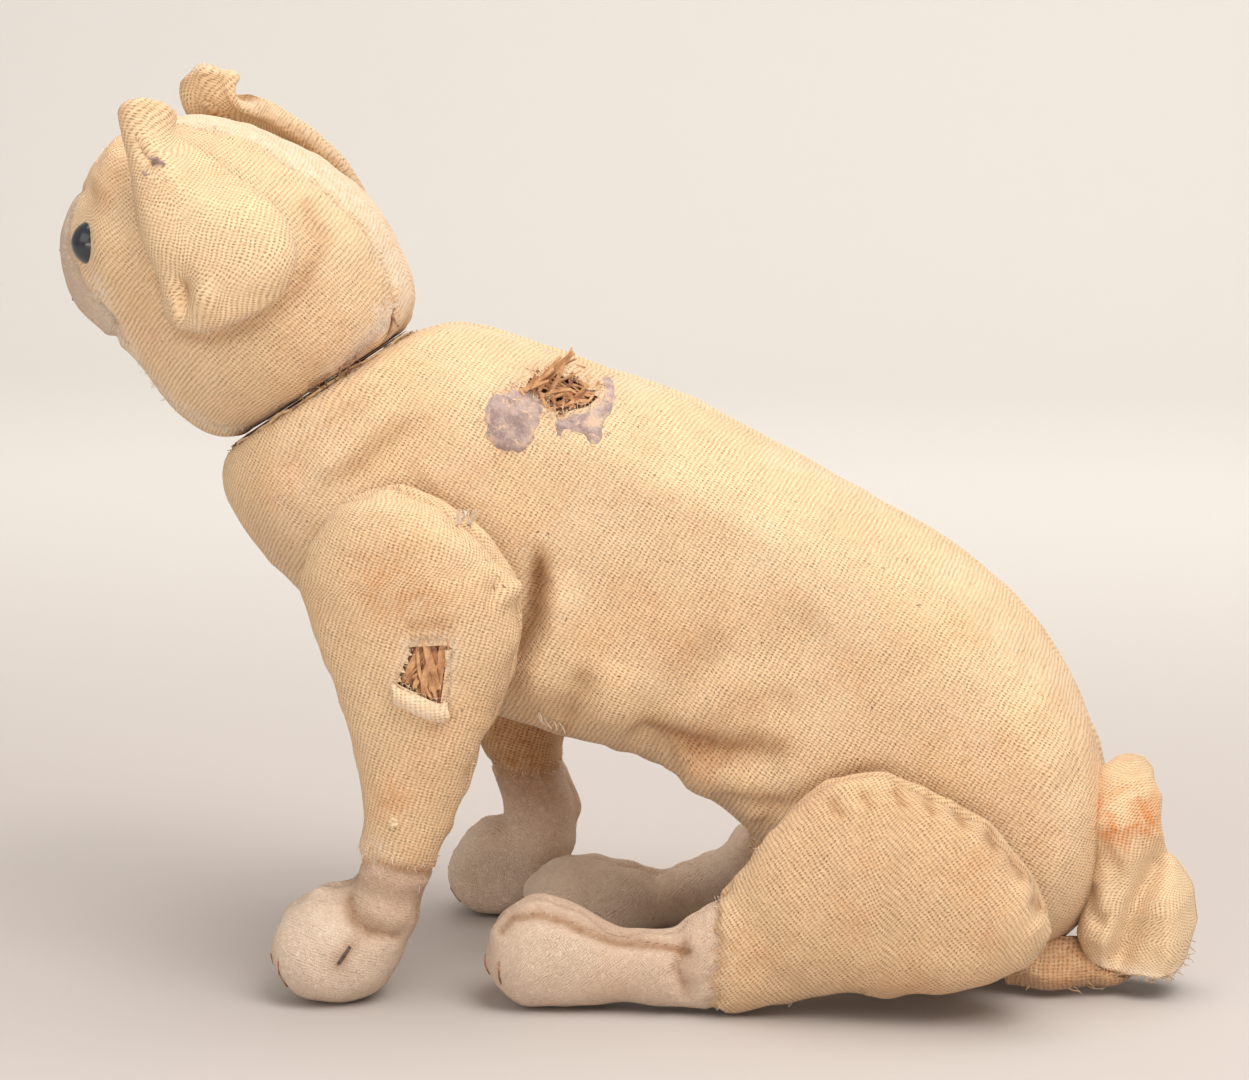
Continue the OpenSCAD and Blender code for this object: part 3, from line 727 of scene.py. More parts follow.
def strands(name, paths, radius, material, body, replaces=(), sides=5):
    """Threads and fibres: one tube, thinner at its ends, along each path of points."""
    points, faces = [], []
    for n, path in enumerate(paths):
        path = np.asarray(path, float)
        size = radius[n] if hasattr(radius, "__len__") else radius
        tangents = np.gradient(path, axis=0)
        tangents /= np.maximum(np.linalg.norm(tangents, axis=1, keepdims=True), 1e-9)
        start = len(points)
        rows = len(path)
        for i in range(rows):
            helper = np.array([0.31, 0.22, 0.92]) if abs(tangents[i][2]) < 0.9 else np.array([0.9, 0.1, 0.2])
            a = np.cross(tangents[i], helper)
            a /= np.linalg.norm(a)
            b = np.cross(tangents[i], a)
            thin = size * (0.35 + 0.65 * math.sin(math.pi * min(1, max(0, (i + 0.6) / (rows + 0.2)))) ** 0.4)
            for k in range(sides):
                turn = 2 * math.pi * k / sides
                points.append(path[i] + thin * (a * math.cos(turn) + b * math.sin(turn)))
        for i in range(rows - 1):
            for k in range(sides):
                n2 = (k + 1) % sides
                faces.append((start + i * sides + k, start + i * sides + n2, start + (i + 1) * sides + n2,
                    start + (i + 1) * sides + k))
        faces.append(tuple(start + k for k in range(sides))[::-1])
        faces.append(tuple(start + (rows - 1) * sides + k for k in range(sides)))
    return mesh_object(name, points, faces, material, body, replaces)


def ribbons(name, paths, widths, facing, thickness, material, body, replaces=()):
    """Thin flat strips, such as shavings: each follows its path and turns its broad side to facing."""
    points, faces = [], []
    for path, width, face in zip(paths, widths, facing):
        path = np.asarray(path, float)
        tangents = np.gradient(path, axis=0)
        tangents /= np.maximum(np.linalg.norm(tangents, axis=1, keepdims=True), 1e-9)
        start, rows = len(points), len(path)
        twist = rng.uniform(-0.9, 0.9)
        for i in range(rows):
            t = i / (rows - 1)
            up = np.asarray(face, float)
            across = np.cross(tangents[i], up)
            across /= max(np.linalg.norm(across), 1e-9)
            up = np.cross(across, tangents[i])
            turn = twist * (t - 0.5) * 2
            turned = across * math.cos(turn) + up * math.sin(turn)
            up = up * math.cos(turn) - across * math.sin(turn)
            across = turned
            half = width / 2 * (0.55 + 0.45 * math.sin(math.pi * (0.12 + 0.76 * t)))
            for a, b in ((-half, -thickness / 2), (half, -thickness / 2), (half, thickness / 2),
                    (-half, thickness / 2)):
                points.append(path[i] + across * a + up * b)
        for i in range(rows - 1):
            for k in range(4):
                n = (k + 1) % 4
                faces.append((start + 4 * i + k, start + 4 * i + n, start + 4 * i + 4 + n,
                    start + 4 * i + 4 + k))
        faces.append((start + 3, start + 2, start + 1, start))
        faces.append(tuple(start + 4 * (rows - 1) + k for k in range(4)))
    return mesh_object(name, points, faces, material, body, replaces, smooth=False)


def inside(points, outline):
    """True for the side-view points inside an outline."""
    x, z = points[..., 0], points[..., 1]
    result = np.zeros(points.shape[:-1], bool)
    outline = np.array(outline, float)
    for (ax, az), (bx, bz) in zip(outline, np.roll(outline, -1, 0)):
        crosses = (az > z) != (bz > z)
        at = ax + (z - az) * (bx - ax) / np.where(abs(bz - az) < 1e-9, 1e-9, bz - az)
        result ^= crosses & (x < at)
    return result


def edge_distance(points, outline):
    return to_line(points, list(outline) + [outline[0]])[0]


def onto_edge(points, outline):
    """The nearest point of a closed outline to each point."""
    a = np.array(outline, float)
    b = np.roll(a, -1, 0)
    share = ((points[:, None] - a) * (b - a)).sum(2) / np.maximum(((b - a) ** 2).sum(1), 1e-9)
    near = a + np.clip(share, 0, 1)[..., None] * (b - a)
    best = np.linalg.norm(near - points[:, None], axis=2).argmin(1)
    return near[np.arange(len(points)), best]


def frayed(outline, amount, seed, pitch=2.2):
    """A smooth closed outline through the given points, with an uneven edge."""
    p = np.array(outline, float)
    n = len(p)
    out = []
    for i in range(n):
        a, b, c, d = p[i - 1], p[i], p[(i + 1) % n], p[(i + 2) % n]
        for t in np.linspace(0, 1, 8, endpoint=False):
            out.append(between(a, b, c, d, t))
    out = np.array(out)
    flat = np.column_stack([out, np.zeros(len(out))])
    return out + amount * np.column_stack([ripple(flat, pitch, seed), ripple(flat, pitch, seed + 50)])


def plain_fields(points, fluff_and_light, stain_and_shade, dirt_and_shade):
    """Attributes for a small piece of cloth whose weave lies flat in side view."""
    return {"cloth": points[:, [0, 2]] * 1.0, "felt": np.zeros(len(points)),
        "fluff_and_light": np.full(len(points), fluff_and_light), "stain_and_shade": np.full(len(points), stain_and_shade),
        "dirt_and_shade": np.full(len(points), dirt_and_shade)}


class Skin:
    """A finished cover to sew things on: finds points and normals on it from the side."""

    def __init__(self, part):
        rows, count = part.rows, part.count
        self.points = part.grid.reshape(-1, 3)
        faces = grid_faces(rows, count)
        self.tree = BVHTree.FromPolygons([Vector(p) for p in self.points], faces)
        self.middle = self.points.mean(0)

    def side(self, x, z, side=-1):
        """(point, outward normal) where a level line in from one side meets the cover, or None."""
        hit, normal, _, _ = self.tree.ray_cast(Vector((x, side * 200, z)), Vector((0, -side, 0)))
        if hit is None:
            return None
        normal = np.array(normal)
        if normal[1] * side < 0:
            normal = -normal
        return np.array(hit), normal

    def at(self, x, z, side=-1):
        """Like side(), but a place just outside the outline gives the nearest point of the cover."""
        return self.side(x, z, side) or self.close((x, self.middle[1] + 3 * side, z))

    def close(self, point):
        """(point, outward normal) of the cover nearest a point."""
        hit, normal, _, _ = self.tree.find_nearest(Vector(point))
        normal = np.array(normal)
        if normal @ (np.array(hit) - self.middle) < 0:
            normal = -normal
        return np.array(hit), normal


def decal(name, skin, outline, offset, step, material, body, replaces=(), side=-1, lumps=0.15,
        edge=-0.4, seed=3, cloth=None, fields=None):
    """Cloth or filling that lies on a cover inside a side-view outline, and tucks under at its edge."""
    outline = np.array(outline, float)
    low, high = outline.min(0) - step, outline.max(0) + step
    xs, zs = np.arange(low[0], high[0], step), np.arange(low[1], high[1], step)
    flat = np.stack(np.meshgrid(xs, zs, indexing="ij"), -1)
    within = inside(flat, outline)
    distance = edge_distance(flat, outline)
    index, points, shade = {}, [], []
    for i in range(len(xs)):
        for k in range(len(zs)):
            if within[i, k] or distance[i, k] < step * 0.75:
                place = flat[i, k]
                found = skin.side(place[0], place[1], side)
                if found is None:
                    continue
                point, normal = found
                rise = offset + (edge - offset) * math.exp(-((distance[i, k] if within[i, k]
                    else 0) / 0.7) ** 2)
                index[i, k] = len(points)
                points.append(point + rise * normal)
                shade.append(distance[i, k])
    points = np.array(points)
    points += lumps * ripple(points, 3.0, seed)[:, None] * np.array([0, side * 1.0, 0.3])
    faces = [(index[i, k], index[i + 1, k], index[i + 1, k + 1], index[i, k + 1])
             for (i, k) in index if (i + 1, k) in index and (i, k + 1) in index and (i + 1, k + 1) in index]
    if side > 0:
        faces = [f[::-1] for f in faces]
    used = {"cloth": points[:, [0, 2]] if cloth is None else cloth(points)}
    for key in ("felt", "fluff_and_light", "stain_and_shade", "dirt_and_shade"):
        used[key] = np.full(len(points), (fields or {}).get(key, 0.0))
    points, faces, used = compact(points, faces, used)
    return mesh_object(name, points, faces, material, body, replaces, used)


def curl(start, direction, normal, length, bend, lift, count=9):
    """A springy shaving's path: it leaves start along direction, bends sideways and lifts off."""
    start, direction, normal = (np.asarray(v, float) for v in (start, direction, normal))
    direction = direction / np.linalg.norm(direction)
    across = np.cross(normal, direction)
    t = np.linspace(0, 1, count)[:, None]
    return start + direction * t * length + across * bend * np.sin(t * math.pi) + normal * lift * t**1.5


def shavings(name, skin, outline, count, depth, body, seed, length=(4.5, 10), stick_out=1.0, side=-1,
        along=None, width=(0.7, 1.7), material=None):
    """Curled shavings that lie over one another inside a hole."""
    r = np.random.default_rng(seed)
    outline = np.array(outline, float)
    low, high = outline.min(0), outline.max(0)
    paths, widths, facing = [], [], []
    while len(paths) < count:
        place = r.uniform(low, high)
        found = skin.side(place[0], place[1], side)
        if found is None or not inside(place[None], outline)[0]:
            continue
        point, normal = found
        angle = r.uniform(0, math.pi) if along is None else r.normal(along, 0.30)
        direction = np.array([math.cos(angle), 0, math.sin(angle)])
        direction -= normal * (direction @ normal)
        size = r.uniform(*length)
        lift = r.uniform(-1.2, 1.6) * stick_out
        start = point - normal * depth * r.uniform(0.45,
            1.0) - direction / np.linalg.norm(direction) * size / 2
        path = curl(start, direction, normal, size, r.normal(0, 0.9), lift)
        keep = inside(path[:, [0, 2]], outline) | (edge_distance(path[:, [0, 2]], outline) < 0.4)
        path = path[keep]
        if len(path) < 4:
            continue
        paths.append(path)
        widths.append(r.uniform(*width))
        facing.append(normal + r.normal(0, 0.35, 3))
    return ribbons(name, paths, widths, facing, 0.22, material or wool_shavings, body)


def fuzz(skin, line, count, length, seed, side=-1, spread=1.0, outward=0.6, curly=0.5):
    """Paths of loose fibres that stand off a cover along a line of side-view or 3-D points."""
    r = np.random.default_rng(seed)
    line = np.array(line, float)
    run = np.concatenate([[0], np.cumsum(np.linalg.norm(np.diff(line, axis=0), axis=1))])
    paths = []
    for _ in range(count):
        at = r.uniform(0, run[-1])
        place = np.array([np.interp(at, run, line[:, c]) for c in range(line.shape[1])]) + r.normal(0,
            spread, line.shape[1])
        found = skin.close(place) if line.shape[1] == 3 else skin.side(place[0], place[1], side)
        if found is None:
            continue
        point, normal = found
        direction = normal * outward + r.normal(0, 0.6, 3)
        direction /= np.linalg.norm(direction)
        if direction @ normal < 0.1:
            direction += normal * 0.4
        size = r.uniform(0.5, 1.0) * length
        bend = r.normal(0, curly, 3) * size
        t = np.linspace(0, 1, 5)[:, None]
        paths.append(point - normal * 0.2 + direction * size * t + bend * t**2 * 0.6)
    return paths


def stitches(skin, line, pitch, length, rise, seed, side=-1, lean=0.0, skip=0.1, jitter=0.25):
    """Paths of short overcast stitches along a line of side-view or 3-D points."""
    r = np.random.default_rng(seed)
    line = np.array(line, float)
    run = np.concatenate([[0], np.cumsum(np.linalg.norm(np.diff(line, axis=0), axis=1))])
    paths = []
    at = pitch / 2
    while at < run[-1]:
        place = np.array([np.interp(at, run, line[:, c]) for c in range(line.shape[1])])
        ahead = np.array([np.interp(min(run[-1], at + 0.5), run, line[:, c]) for c in range(line.shape[1])])
        at += pitch * r.uniform(1 - jitter, 1 + jitter)
        if r.uniform() < skip:
            continue
        found = skin.close(place) if line.shape[1] == 3 else skin.side(place[0], place[1], side)
        if found is None:
            continue
        point, normal = found
        heading = ahead - place
        heading = np.array([heading[0], 0, heading[1]]) if len(heading) == 2 else heading
        heading = heading / max(np.linalg.norm(heading), 1e-9)
        across = np.cross(normal, heading)
        across = across * math.cos(lean) + heading * math.sin(lean)
        size = length * r.uniform(0.75, 1.25)
        t = np.linspace(-0.5, 0.5, 6)[:, None]
        paths.append(point + across * size * t + normal * (rise * np.cos(t * math.pi) - 0.15))
    return paths


def patch_grid(net, rows, count):
    """A smooth surface through a small net of 3-D points."""
    net = np.array(net, float)

    def through(lines, count):
        n = len(lines)
        ends = np.concatenate([[2 * lines[0] - lines[1]], lines, [2 * lines[-1] - lines[-2]]])
        at = np.linspace(0, n - 1 - 1e-9, count)
        i, t = at.astype(int), (at - at.astype(int))
        shape = (-1,) + (1,) * (lines.ndim - 1)
        t = t.reshape(shape)
        a, b, c, d = ends[i], ends[i + 1], ends[i + 2], ends[i + 3]
        return between(a, b, c, d, t)
    return np.swapaxes(through(np.swapaxes(through(net, rows), 0, 1), count), 0, 1)


def layered(grid, thickness, outward):
    """(points, faces) of a closed sheet: the grid and a copy of it pushed back, joined round the rim."""
    rows, count, _ = grid.shape
    n = np.cross(np.gradient(grid, axis=0), np.gradient(grid, axis=1))
    n /= np.maximum(np.linalg.norm(n, axis=2, keepdims=True), 1e-9)
    if (n * outward).sum() < 0:
        n = -n
    i, k = np.meshgrid(np.arange(rows), np.arange(count), indexing="ij")
    rim = np.minimum(np.minimum(i, rows - 1 - i) / 5.0, np.minimum(k, count - 1 - k) / 5.0).clip(0, 1)
    half = (thickness / 2 * np.sqrt(1 - (1 - rim) ** 2))[..., None]
    front, back = grid + n * (half + 0.05), grid - n * (half + 0.05)
    points = np.concatenate([front.reshape(-1, 3), back.reshape(-1, 3)])
    base = rows * count
    faces = []
    for a in range(rows - 1):
        for b in range(count - 1):
            q = (a * count + b, (a + 1) * count + b, (a + 1) * count + b + 1, a * count + b + 1)
            faces += [q, tuple(base + v for v in q[::-1])]
    rim_line = [(a, 0) for a in range(rows)] + [(rows - 1, b) for b in range(1, count)]
    rim_line += [(a, count - 1) for a in range(rows - 2, -1, -1)] + [(0, b) for b in range(count - 2, 0, -1)]
    ids = [a * count + b for a, b in rim_line]
    for p, q in zip(ids, ids[1:] + ids[:1]):
        faces.append((q, p, base + p, base + q))
    if np.cross(grid[1, 0] - grid[0, 0], grid[0, 1] - grid[0, 0]) @ n[0, 0] < 0:
        faces = [f[::-1] for f in faces]
    return points, faces, n


# ---- Body ---------------------------------------------------------------------------------------

body = Stuffed(["body_left_panel", "body_right_panel"],
               [(-52, 0, 104), (-30, 0, 94), (10, 0, 76), (45, 0, 56), (74, 0, 34)], 110, 112, 31, passes=10,
               backup=["body_wood_wool"])
belly_line, back_line = seam_points(body, [0]), seam_points(body, [body.count // 2])

# Two slanting folds from the neck, the deep fold behind the shoulder, and the pleats of the belly
body.stroke([(-46, 119), (-52, 113), (-58, 107), (-66, 98)], 2.4, 1.5)
body.stroke([(-41, 117), (-46, 111), (-52, 106), (-60, 99)], 3.0, -1.4)
body.stroke([(-36, 114), (-40, 110), (-47, 103), (-56, 98)], 2.4, 1.5)
body.stroke([(-24, 110), (-30, 105), (-38, 100)], 6.0, -1.0)
body.stroke([(-13.5, 89), (-14, 81), (-15.5, 74), (-18.5, 67), (-22, 60)], 1.9, 5.0)
body.stroke([(-9, 84), (-9, 78), (-10.5, 71), (-13.5, 64), (-16, 56)], 3.0, -2.6)
body.stroke([(-4, 64), (-8, 57), (-10, 50)], 2.6, 1.8)
body.stroke([(2, 66), (0, 58), (-2, 50)], 3.0, -1.2)
body.stroke([(23, 72), (16, 63), (8, 55), (4, 50)], 4.2, 1.5)
body.stroke([(28, 66), (20, 58), (12, 50)], 3.6, -1.2)
body.stroke([(8, 52), (16, 49), (26, 48), (34, 50)], 3.0, 2.6)
body.stroke([(12, 47), (18, 43), (26, 41), (32, 42)], 3.0, -2.0)
for side in (-1, 1):
    body.stroke([(3, 51), (8, 46.5), (11, 42)], 3.2, 3.4, side=side)
    body.stroke([(13, 42), (17, 39), (22, 38.5)], 2.8, -1.6, side=side)
body.stroke([(26, 38), (30, 34)], 2.4, -1.8)
body.stroke([(22, 39), (28, 37), (36, 38)], 1.8, 1.6)
body.stroke([(30, 33), (38, 38), (48, 43), (58, 46)], 2.6, 1.8)
body.stroke([(36, 62), (30, 54), (27, 46)], 3.4, 1.3)
body.stroke([(44, 74), (36, 70), (28, 64)], 5.0, 0.8)
body.stroke([(80, 62), (86, 52), (88, 42)], 5.0, -0.9)
body.stroke([(70, 66), (76, 56), (78, 46)], 5.0, 0.7)
for line, width, depth in [([(-52, 108), (-56, 98)], 5.0, 1.2), ([(-10, 90), (-12, 78)], 5.0, 1.6),
                           ([(14, 64), (6, 54)], 4.0, 1.4), ([(60, 76), (70, 66)], 7.0, 0.7)]:
    body.stroke(line, width, depth, side=1)
body.lumps(34, 0.35, 11)
body.lumps(13, 0.22, 12)
body.lumps(5, 0.09, 13)
body.seam(belly_line, 1.1, 1.4, 0.45, 4.0, 6.0, 0.5, 21)
body.seam(back_line, 0.35, 1.1, 0.15, 3.0, 4.0, 0.12, 22)

TEAR = frayed([(-20.5, 117), (-18, 120.2), (-13.5, 121.6), (-9, 120.8), (-5.2, 118.6), (-3.2, 116.8),
        (-5, 115.4), (-8.5, 114.5), (-9.5, 112), (-11.5, 114.6), (-16, 116.5)], 0.16, 31)
left_face = body.normals[..., 1] < 0
body.cut(TEAR)
around_tear = bell(edge_distance(body.flat(), TEAR), 2.2) * left_face
body.fields["dirt_and_shade"] += 0.35 * around_tear
body.fields["fluff_and_light"] += 0.5 * around_tear

# The lower body and faces that point down are darker, the fold valleys are darkened as painted shade, and
# stains are scattered over the flank
height = body.rest[..., 2]
body.fields["dirt_and_shade"] += (0.10 * np.clip((62 - height) / 50, 0, 1)
    + 0.16 * np.clip(-body.normals[..., 2] - 0.1, 0, 1))
# Painted shade along the fold valleys, deepest in the fold behind the shoulder; the last smear darkens the
# front of the chest
for line, width, amount in [([(-46, 119), (-58, 107), (-66, 98)], 1.6, 0.02),
        ([(-36, 114), (-47, 103), (-56, 98)], 1.8, 0.02), ([(-14, 85), (-15.5, 74), (-20, 64)], 1.3, 1.0),
        ([(-4, 64), (-10, 50)], 1.8, 0.35), ([(22, 71), (8, 55)], 2.6, 0.14),
        ([(8, 52), (16, 49), (26, 48), (34, 50)], 2.6, 0.65),
        ([(-70, 90), (-60, 78), (-46, 64)], 5.0, 0.25)]:
    body.smear("dirt_and_shade", line, width, amount)
for x, z, radius, amount in [(6, 79, 4, 0.7), (14, 69, 4.5, 0.7), (24, 77, 4, 0.35), (18, 48, 6, 0.9),
        (46, 65, 5, 0.5), (85, 57, 5, 0.4), (65, 52, 6, 0.5), (76, 52, 5, 0.4), (86, 35, 7, 0.5),
        (-14, 90, 3, 0.3), (-26, 104, 3, 0.25), (36, 78, 5, 0.3), (-2, 70, 4, 0.6), (28, 60, 4, 0.4),
        (2, 62, 4, 0.4), (50, 84, 4, 0.25), (70, 76, 5, 0.3), (-66, 98, 6, 0.5)]:
    body.spot("stain_and_shade", (x, z), radius, amount)
# The last spot darkens the low flank as painted shade
for x, z, radius, amount in [(56, 64, 14, 0.05), (40, 70, 14, 0.05), (20, 54, 11, 0.22)]:
    body.spot("dirt_and_shade", (x, z), radius, amount)
body.fields["stain_and_shade"] += 0.08 * (ripple(body.rest, 26, 41) > 0.4)
body.fields["fluff_and_light"] += 0.22 * np.clip(ripple(body.rest, 10, 42), 0, 1)
body.fields["stain_and_shade"] = softened(body.fields["stain_and_shade"], 4)

NECK_CENTRE = np.array([-61.4, 0, 115.5])
NECK_TILT = math.radians(33.5)
NECK_UP = np.array([-math.sin(NECK_TILT), 0, math.cos(NECK_TILT)])


def clear_neck(part, sign, gap):
    """Keeps a part on its own side of the neck's plane, so that the head can turn over the body."""
    short = np.minimum(sign * ((part.grid - NECK_CENTRE) @ NECK_UP) - gap, 0)
    part.grid -= sign * short[..., None] * NECK_UP


clear_neck(body, -1, BODY_GAP)
body.build(woven_cover, "body", {
    "body_cover": ("woven_cover", ["body_left_panel", "body_right_panel"], [])})
body_skin = Skin(body)


# The wool patch's two lobes and the torn hole between them, with the stuffing behind it
LEFT_LOBE = frayed([(-25, 114), (-24.5, 109.5), (-21.5, 106.8), (-17.5, 106.6), (-14, 109), (-12.6, 112),
        (-12.6, 115), (-15, 117.6), (-19, 118.8), (-23, 117.6)], 0.24, 33, 1.1)
RIGHT_LOBE = frayed([(-11.8, 113.6), (-9.8, 110.4), (-7.6, 110.8), (-5.6, 109.8), (-4.0, 108.2),
        (-1.4, 107.6), (-0.6, 109.6), (-1.2, 111.6), (0.4, 114.4), (0.0, 118), (-2.4, 120.6), (-4.2, 120.0),
        (-3.0, 116.6), (-5.4, 114.4), (-8.6, 113.6)], 0.22, 34, 1.2)
decal("back_patch_left", body_skin, LEFT_LOBE, 0.30, 0.5, patch_wool, "body",
    ["back_wool_patch"], seed=35)
decal("back_patch_right", body_skin, RIGHT_LOBE, 0.34, 0.5, patch_wool, "body", seed=36)
# Painted shade: the stuffing behind the tear is a dark sheet
BEHIND = [(-26, 114), (-23, 122), (-13, 126), (-3, 124.5), (2, 118), (-2, 112), (-9, 108.5), (-15, 110)]
decal("body_filling", body_skin, BEHIND, -HOLE_DEPTH, 0.6, painted_shade_filling, "body",
    ["body_wood_wool"], lumps=0.5, edge=-1.4, seed=37)
INNER = [(-20, 117), (-14, 122), (-8, 122), (-3.5, 119), (-5, 116), (-9, 113), (-12, 115)]
shavings("body_dark_shavings", body_skin, TEAR, 46, 1.3, "body", 137, (3, 7), 0.6, width=(0.4, 1.1),
    material=red_shavings)
tuft = shavings("body_shavings", body_skin, INNER, 54, 1.0, "body", 38, (3, 7), 1.0, width=(0.3, 1.0))
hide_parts("back_wood_wool_tuft")


def loose_sticks(name, skin, starts, body, seed):
    """Flat splinters that stand up out of a hole: (x, z, heading in degrees, length, lift, width)."""
    r = np.random.default_rng(seed)
    paths, widths, facing = [], [], []
    for x, z, heading, length, lift, width in starts:
        point, normal = skin.at(x, z)
        direction = np.array([math.cos(math.radians(heading)), 0, math.sin(math.radians(heading))])
        paths.append(curl(point - normal * 1.2, direction, normal, length, r.normal(0, 0.5), lift))
        widths.append(width)
        facing.append(normal + r.normal(0, 0.25, 3))
    return ribbons(name, paths, widths, facing, 0.3, wool_shavings, body)


loose_sticks("body_splinters", body_skin, [
    (-19.5, 118.2, 16, 7.5, 1.2, 0.9), (-18, 119, 26, 7, 2.0, 1.1), (-16, 119.6, 33, 9.5, 2.6, 1.2),
    (-14.5, 119, 46, 9, 2.8, 0.9),
    (-15, 120.2, 24, 8, 2.2, 1.3), (-13, 118, 58, 6.5, 1.8, 0.9), (-16.5, 119, 40, 8, 2.4, 0.8),
    (-12.5, 120, 14, 6, 1.6, 1.0),
    (-14, 117.6, 8, 6, 1.2, 0.8), (-9, 118.5, -20, 5, 1.2, 0.9), (-8, 117, 40, 4, 1.0, 0.7),
    (-18, 118, 48, 4.5, 1.6, 0.7)],
    "body", 39)
loose_sticks("body_straws", body_skin, [
    (-11, 116, -78, 5.0, 1.2, 0.7), (-10.5, 117, -64, 5.0, 1.3, 0.6), (-12, 116, -100, 4.5, 0.9, 0.7),
    (-9.6, 117, -88, 6.0, 1.0, 0.5),
    (-13.5, 116.4, -70, 4, 1.0, 0.6), (-7.5, 117.5, -50, 4.5, 0.9, 0.6)], "body", 139)
tear_fuzz = fuzz(body_skin, np.vstack([TEAR, TEAR[:1]]), 200, 1.4, 43, spread=0.5, outward=0.4)
strands("tear_fray", tear_fuzz, 0.06, cream_thread, "body", sides=4)
patch_fuzz = fuzz(body_skin, np.vstack([LEFT_LOBE, LEFT_LOBE[:1]]), 150, 0.8, 44, spread=0.5, outward=0.15)
patch_fuzz += fuzz(body_skin, np.vstack([RIGHT_LOBE, RIGHT_LOBE[:1]]), 150, 0.8, 45, spread=0.5,
    outward=0.15)
strands("patch_fray", patch_fuzz, 0.06, purple_thread, "body", sides=4)

# Seam threads at the chest, the rump and the belly, and a few specks of dark thread
chest = belly_line[(belly_line[:, 0] < -44) & (belly_line[:, 2] < 106)]
strands("chest_stitches", stitches(body_skin, chest[::3], 3.0, 2.6, 0.35, 46, skip=0.15), 0.20, tan_thread,
    "body")
belly = belly_line[(belly_line[:, 0] > -20) & (belly_line[:, 0] < 60)]
strands("belly_stitches", stitches(body_skin, belly[::3], 3.6, 2.4, 0.3, 47, skip=0.25), 0.16, tan_thread,
    "body")
rump = [(84, -4, 70), (89, -4, 62), (93, -5, 52), (95, -5, 44)]
strands("rump_stitches", stitches(body_skin, rump, 2.4, 1.5, 0.05, 48, lean=1.35), 0.11, brown_thread,
    "body")
specks = [curl(body_skin.at(x, z)[0], (math.cos(a), 0, math.sin(a)), body_skin.at(x, z)[1], 0.6, 0.1, 0.15, 5)
    for x, z, a in [(-14, 91, 0.4), (-12, 91, -0.6), (-8, 74, 1.2), (2, 63, 0.2), (30, 70, 0.9),
        (52, 58, 2.0), (60, 78, 0.1)]]
belly_fray = [curl(body_skin.at(x, z)[0], (0.6, 0, -0.8), body_skin.at(x, z)[1], 2.6, bend, 0.4)
              for x, z, bend in [(-15, 55, 0.6), (-13.5, 53.5, -0.5), (-12.5, 52.8, 0.8),
              (-14.4, 54.2, -0.9), (-11, 52.2, 0.3)]]
strands("belly_fray", belly_fray, 0.12, pale_thread, "body")
strands("body_specks", specks, 0.10, dark_thread, "body")


# ---- Head ---------------------------------------------------------------------------------------

head = Stuffed(["head_left_panel", "head_right_panel", "head_gusset", "muzzle_felt"],
               [(-68, 0, 124), (-76, 0, 138), (-84, 0, 154)], 90, 108, 46, passes=10, fan=18)
muzzle = head.owner == 3
from_top = np.minimum(np.arange(head.count), head.count - np.arange(head.count))[None, :] < head.count * 0.24
across = np.interp(head.rest[..., 0], [-100, -80, -60, -45], [9, 11, 13, 10])
gusset = ~muzzle & from_top & (abs(head.rest[..., 1]) < across)
head.owner = np.where(gusset, 2, np.where(muzzle, 3, np.where(head.rest[..., 1] < 0, 0, 1)))
muzzle_edge = edges_between(head.rest, np.where(muzzle, 1, 0))
gusset_edge = edges_between(head.rest, np.where(gusset, 1, 0))
gusset_edge = gusset_edge[gusset_edge[:, 2] > 127]
chin_line = seam_points(head, [head.count // 2])
chin_line = chin_line[chin_line[:, 2] < 132]

for side in (-1, 1):
    head.stroke([(-103, 155), (-100, 162), (-97, 166)], 4.6, -1.5, side=side)      # brow
    head.stroke([(-96, 168), (-93, 160), (-90, 156)], 3.0, 0.9, side=side)
    head.stroke([(-99, 152), (-98, 145), (-97, 138)], 3.2, -1.2,
        side=side)       # cheek over the eye's back edge
    head.stroke([(-88, 132), (-80, 124), (-70, 118)], 9.0, -1.2, side=side)
    head.stroke([(-60, 122), (-52, 128), (-47, 134)], 6.0, -0.6, side=side)
head.lumps(26, 0.30, 51)
head.lumps(9, 0.16, 52)
head.lumps(4, 0.07, 53)
head.seam(muzzle_edge, 0.8, 1.1, 0.15, 2.6, 3.0, 0.22, 54)
head.seam(gusset_edge, 0.8, 0.8, 0.25, 3.0, 3.4, 0.22, 55)
head.seam(chin_line, 0.7, 1.1, 0.35, 3.0, 4.0, 0.25, 56)
head.fields["felt"] = softened(muzzle.astype(float), 5)
head.fields["fluff_and_light"] += softened(0.85 * gusset.astype(float), 6)
head.fields["fluff_and_light"] += 0.5 * bell(nearest_distance(head.rest, muzzle_edge), 1.8) * (head.rest[..., 2] < 142)
head.fields["stain_and_shade"] += 0.12 * (ripple(head.rest, 20, 57) > 0.3)
for x, z, radius, amount in [(-99, 164, 3.4, 1.0), (-100, 155, 3.4, 0.9), (-96, 160, 5, 0.35),
        (-66, 141, 7, 0.35), (-104, 160, 4, 0.5), (-62, 126, 6, 0.3), (-90, 128, 7, 0.35),
        (-54, 130, 5, 0.35)]:
    head.spot("stain_and_shade", (x, z), radius, amount)
head.smear("fluff_and_light", [(-101, 138), (-100, 131), (-96, 124)], 2.2, 0.9)
head.smear("fluff_and_light", [(-96, 122), (-90, 116), (-83, 111), (-74, 106)], 2.0, 0.8)
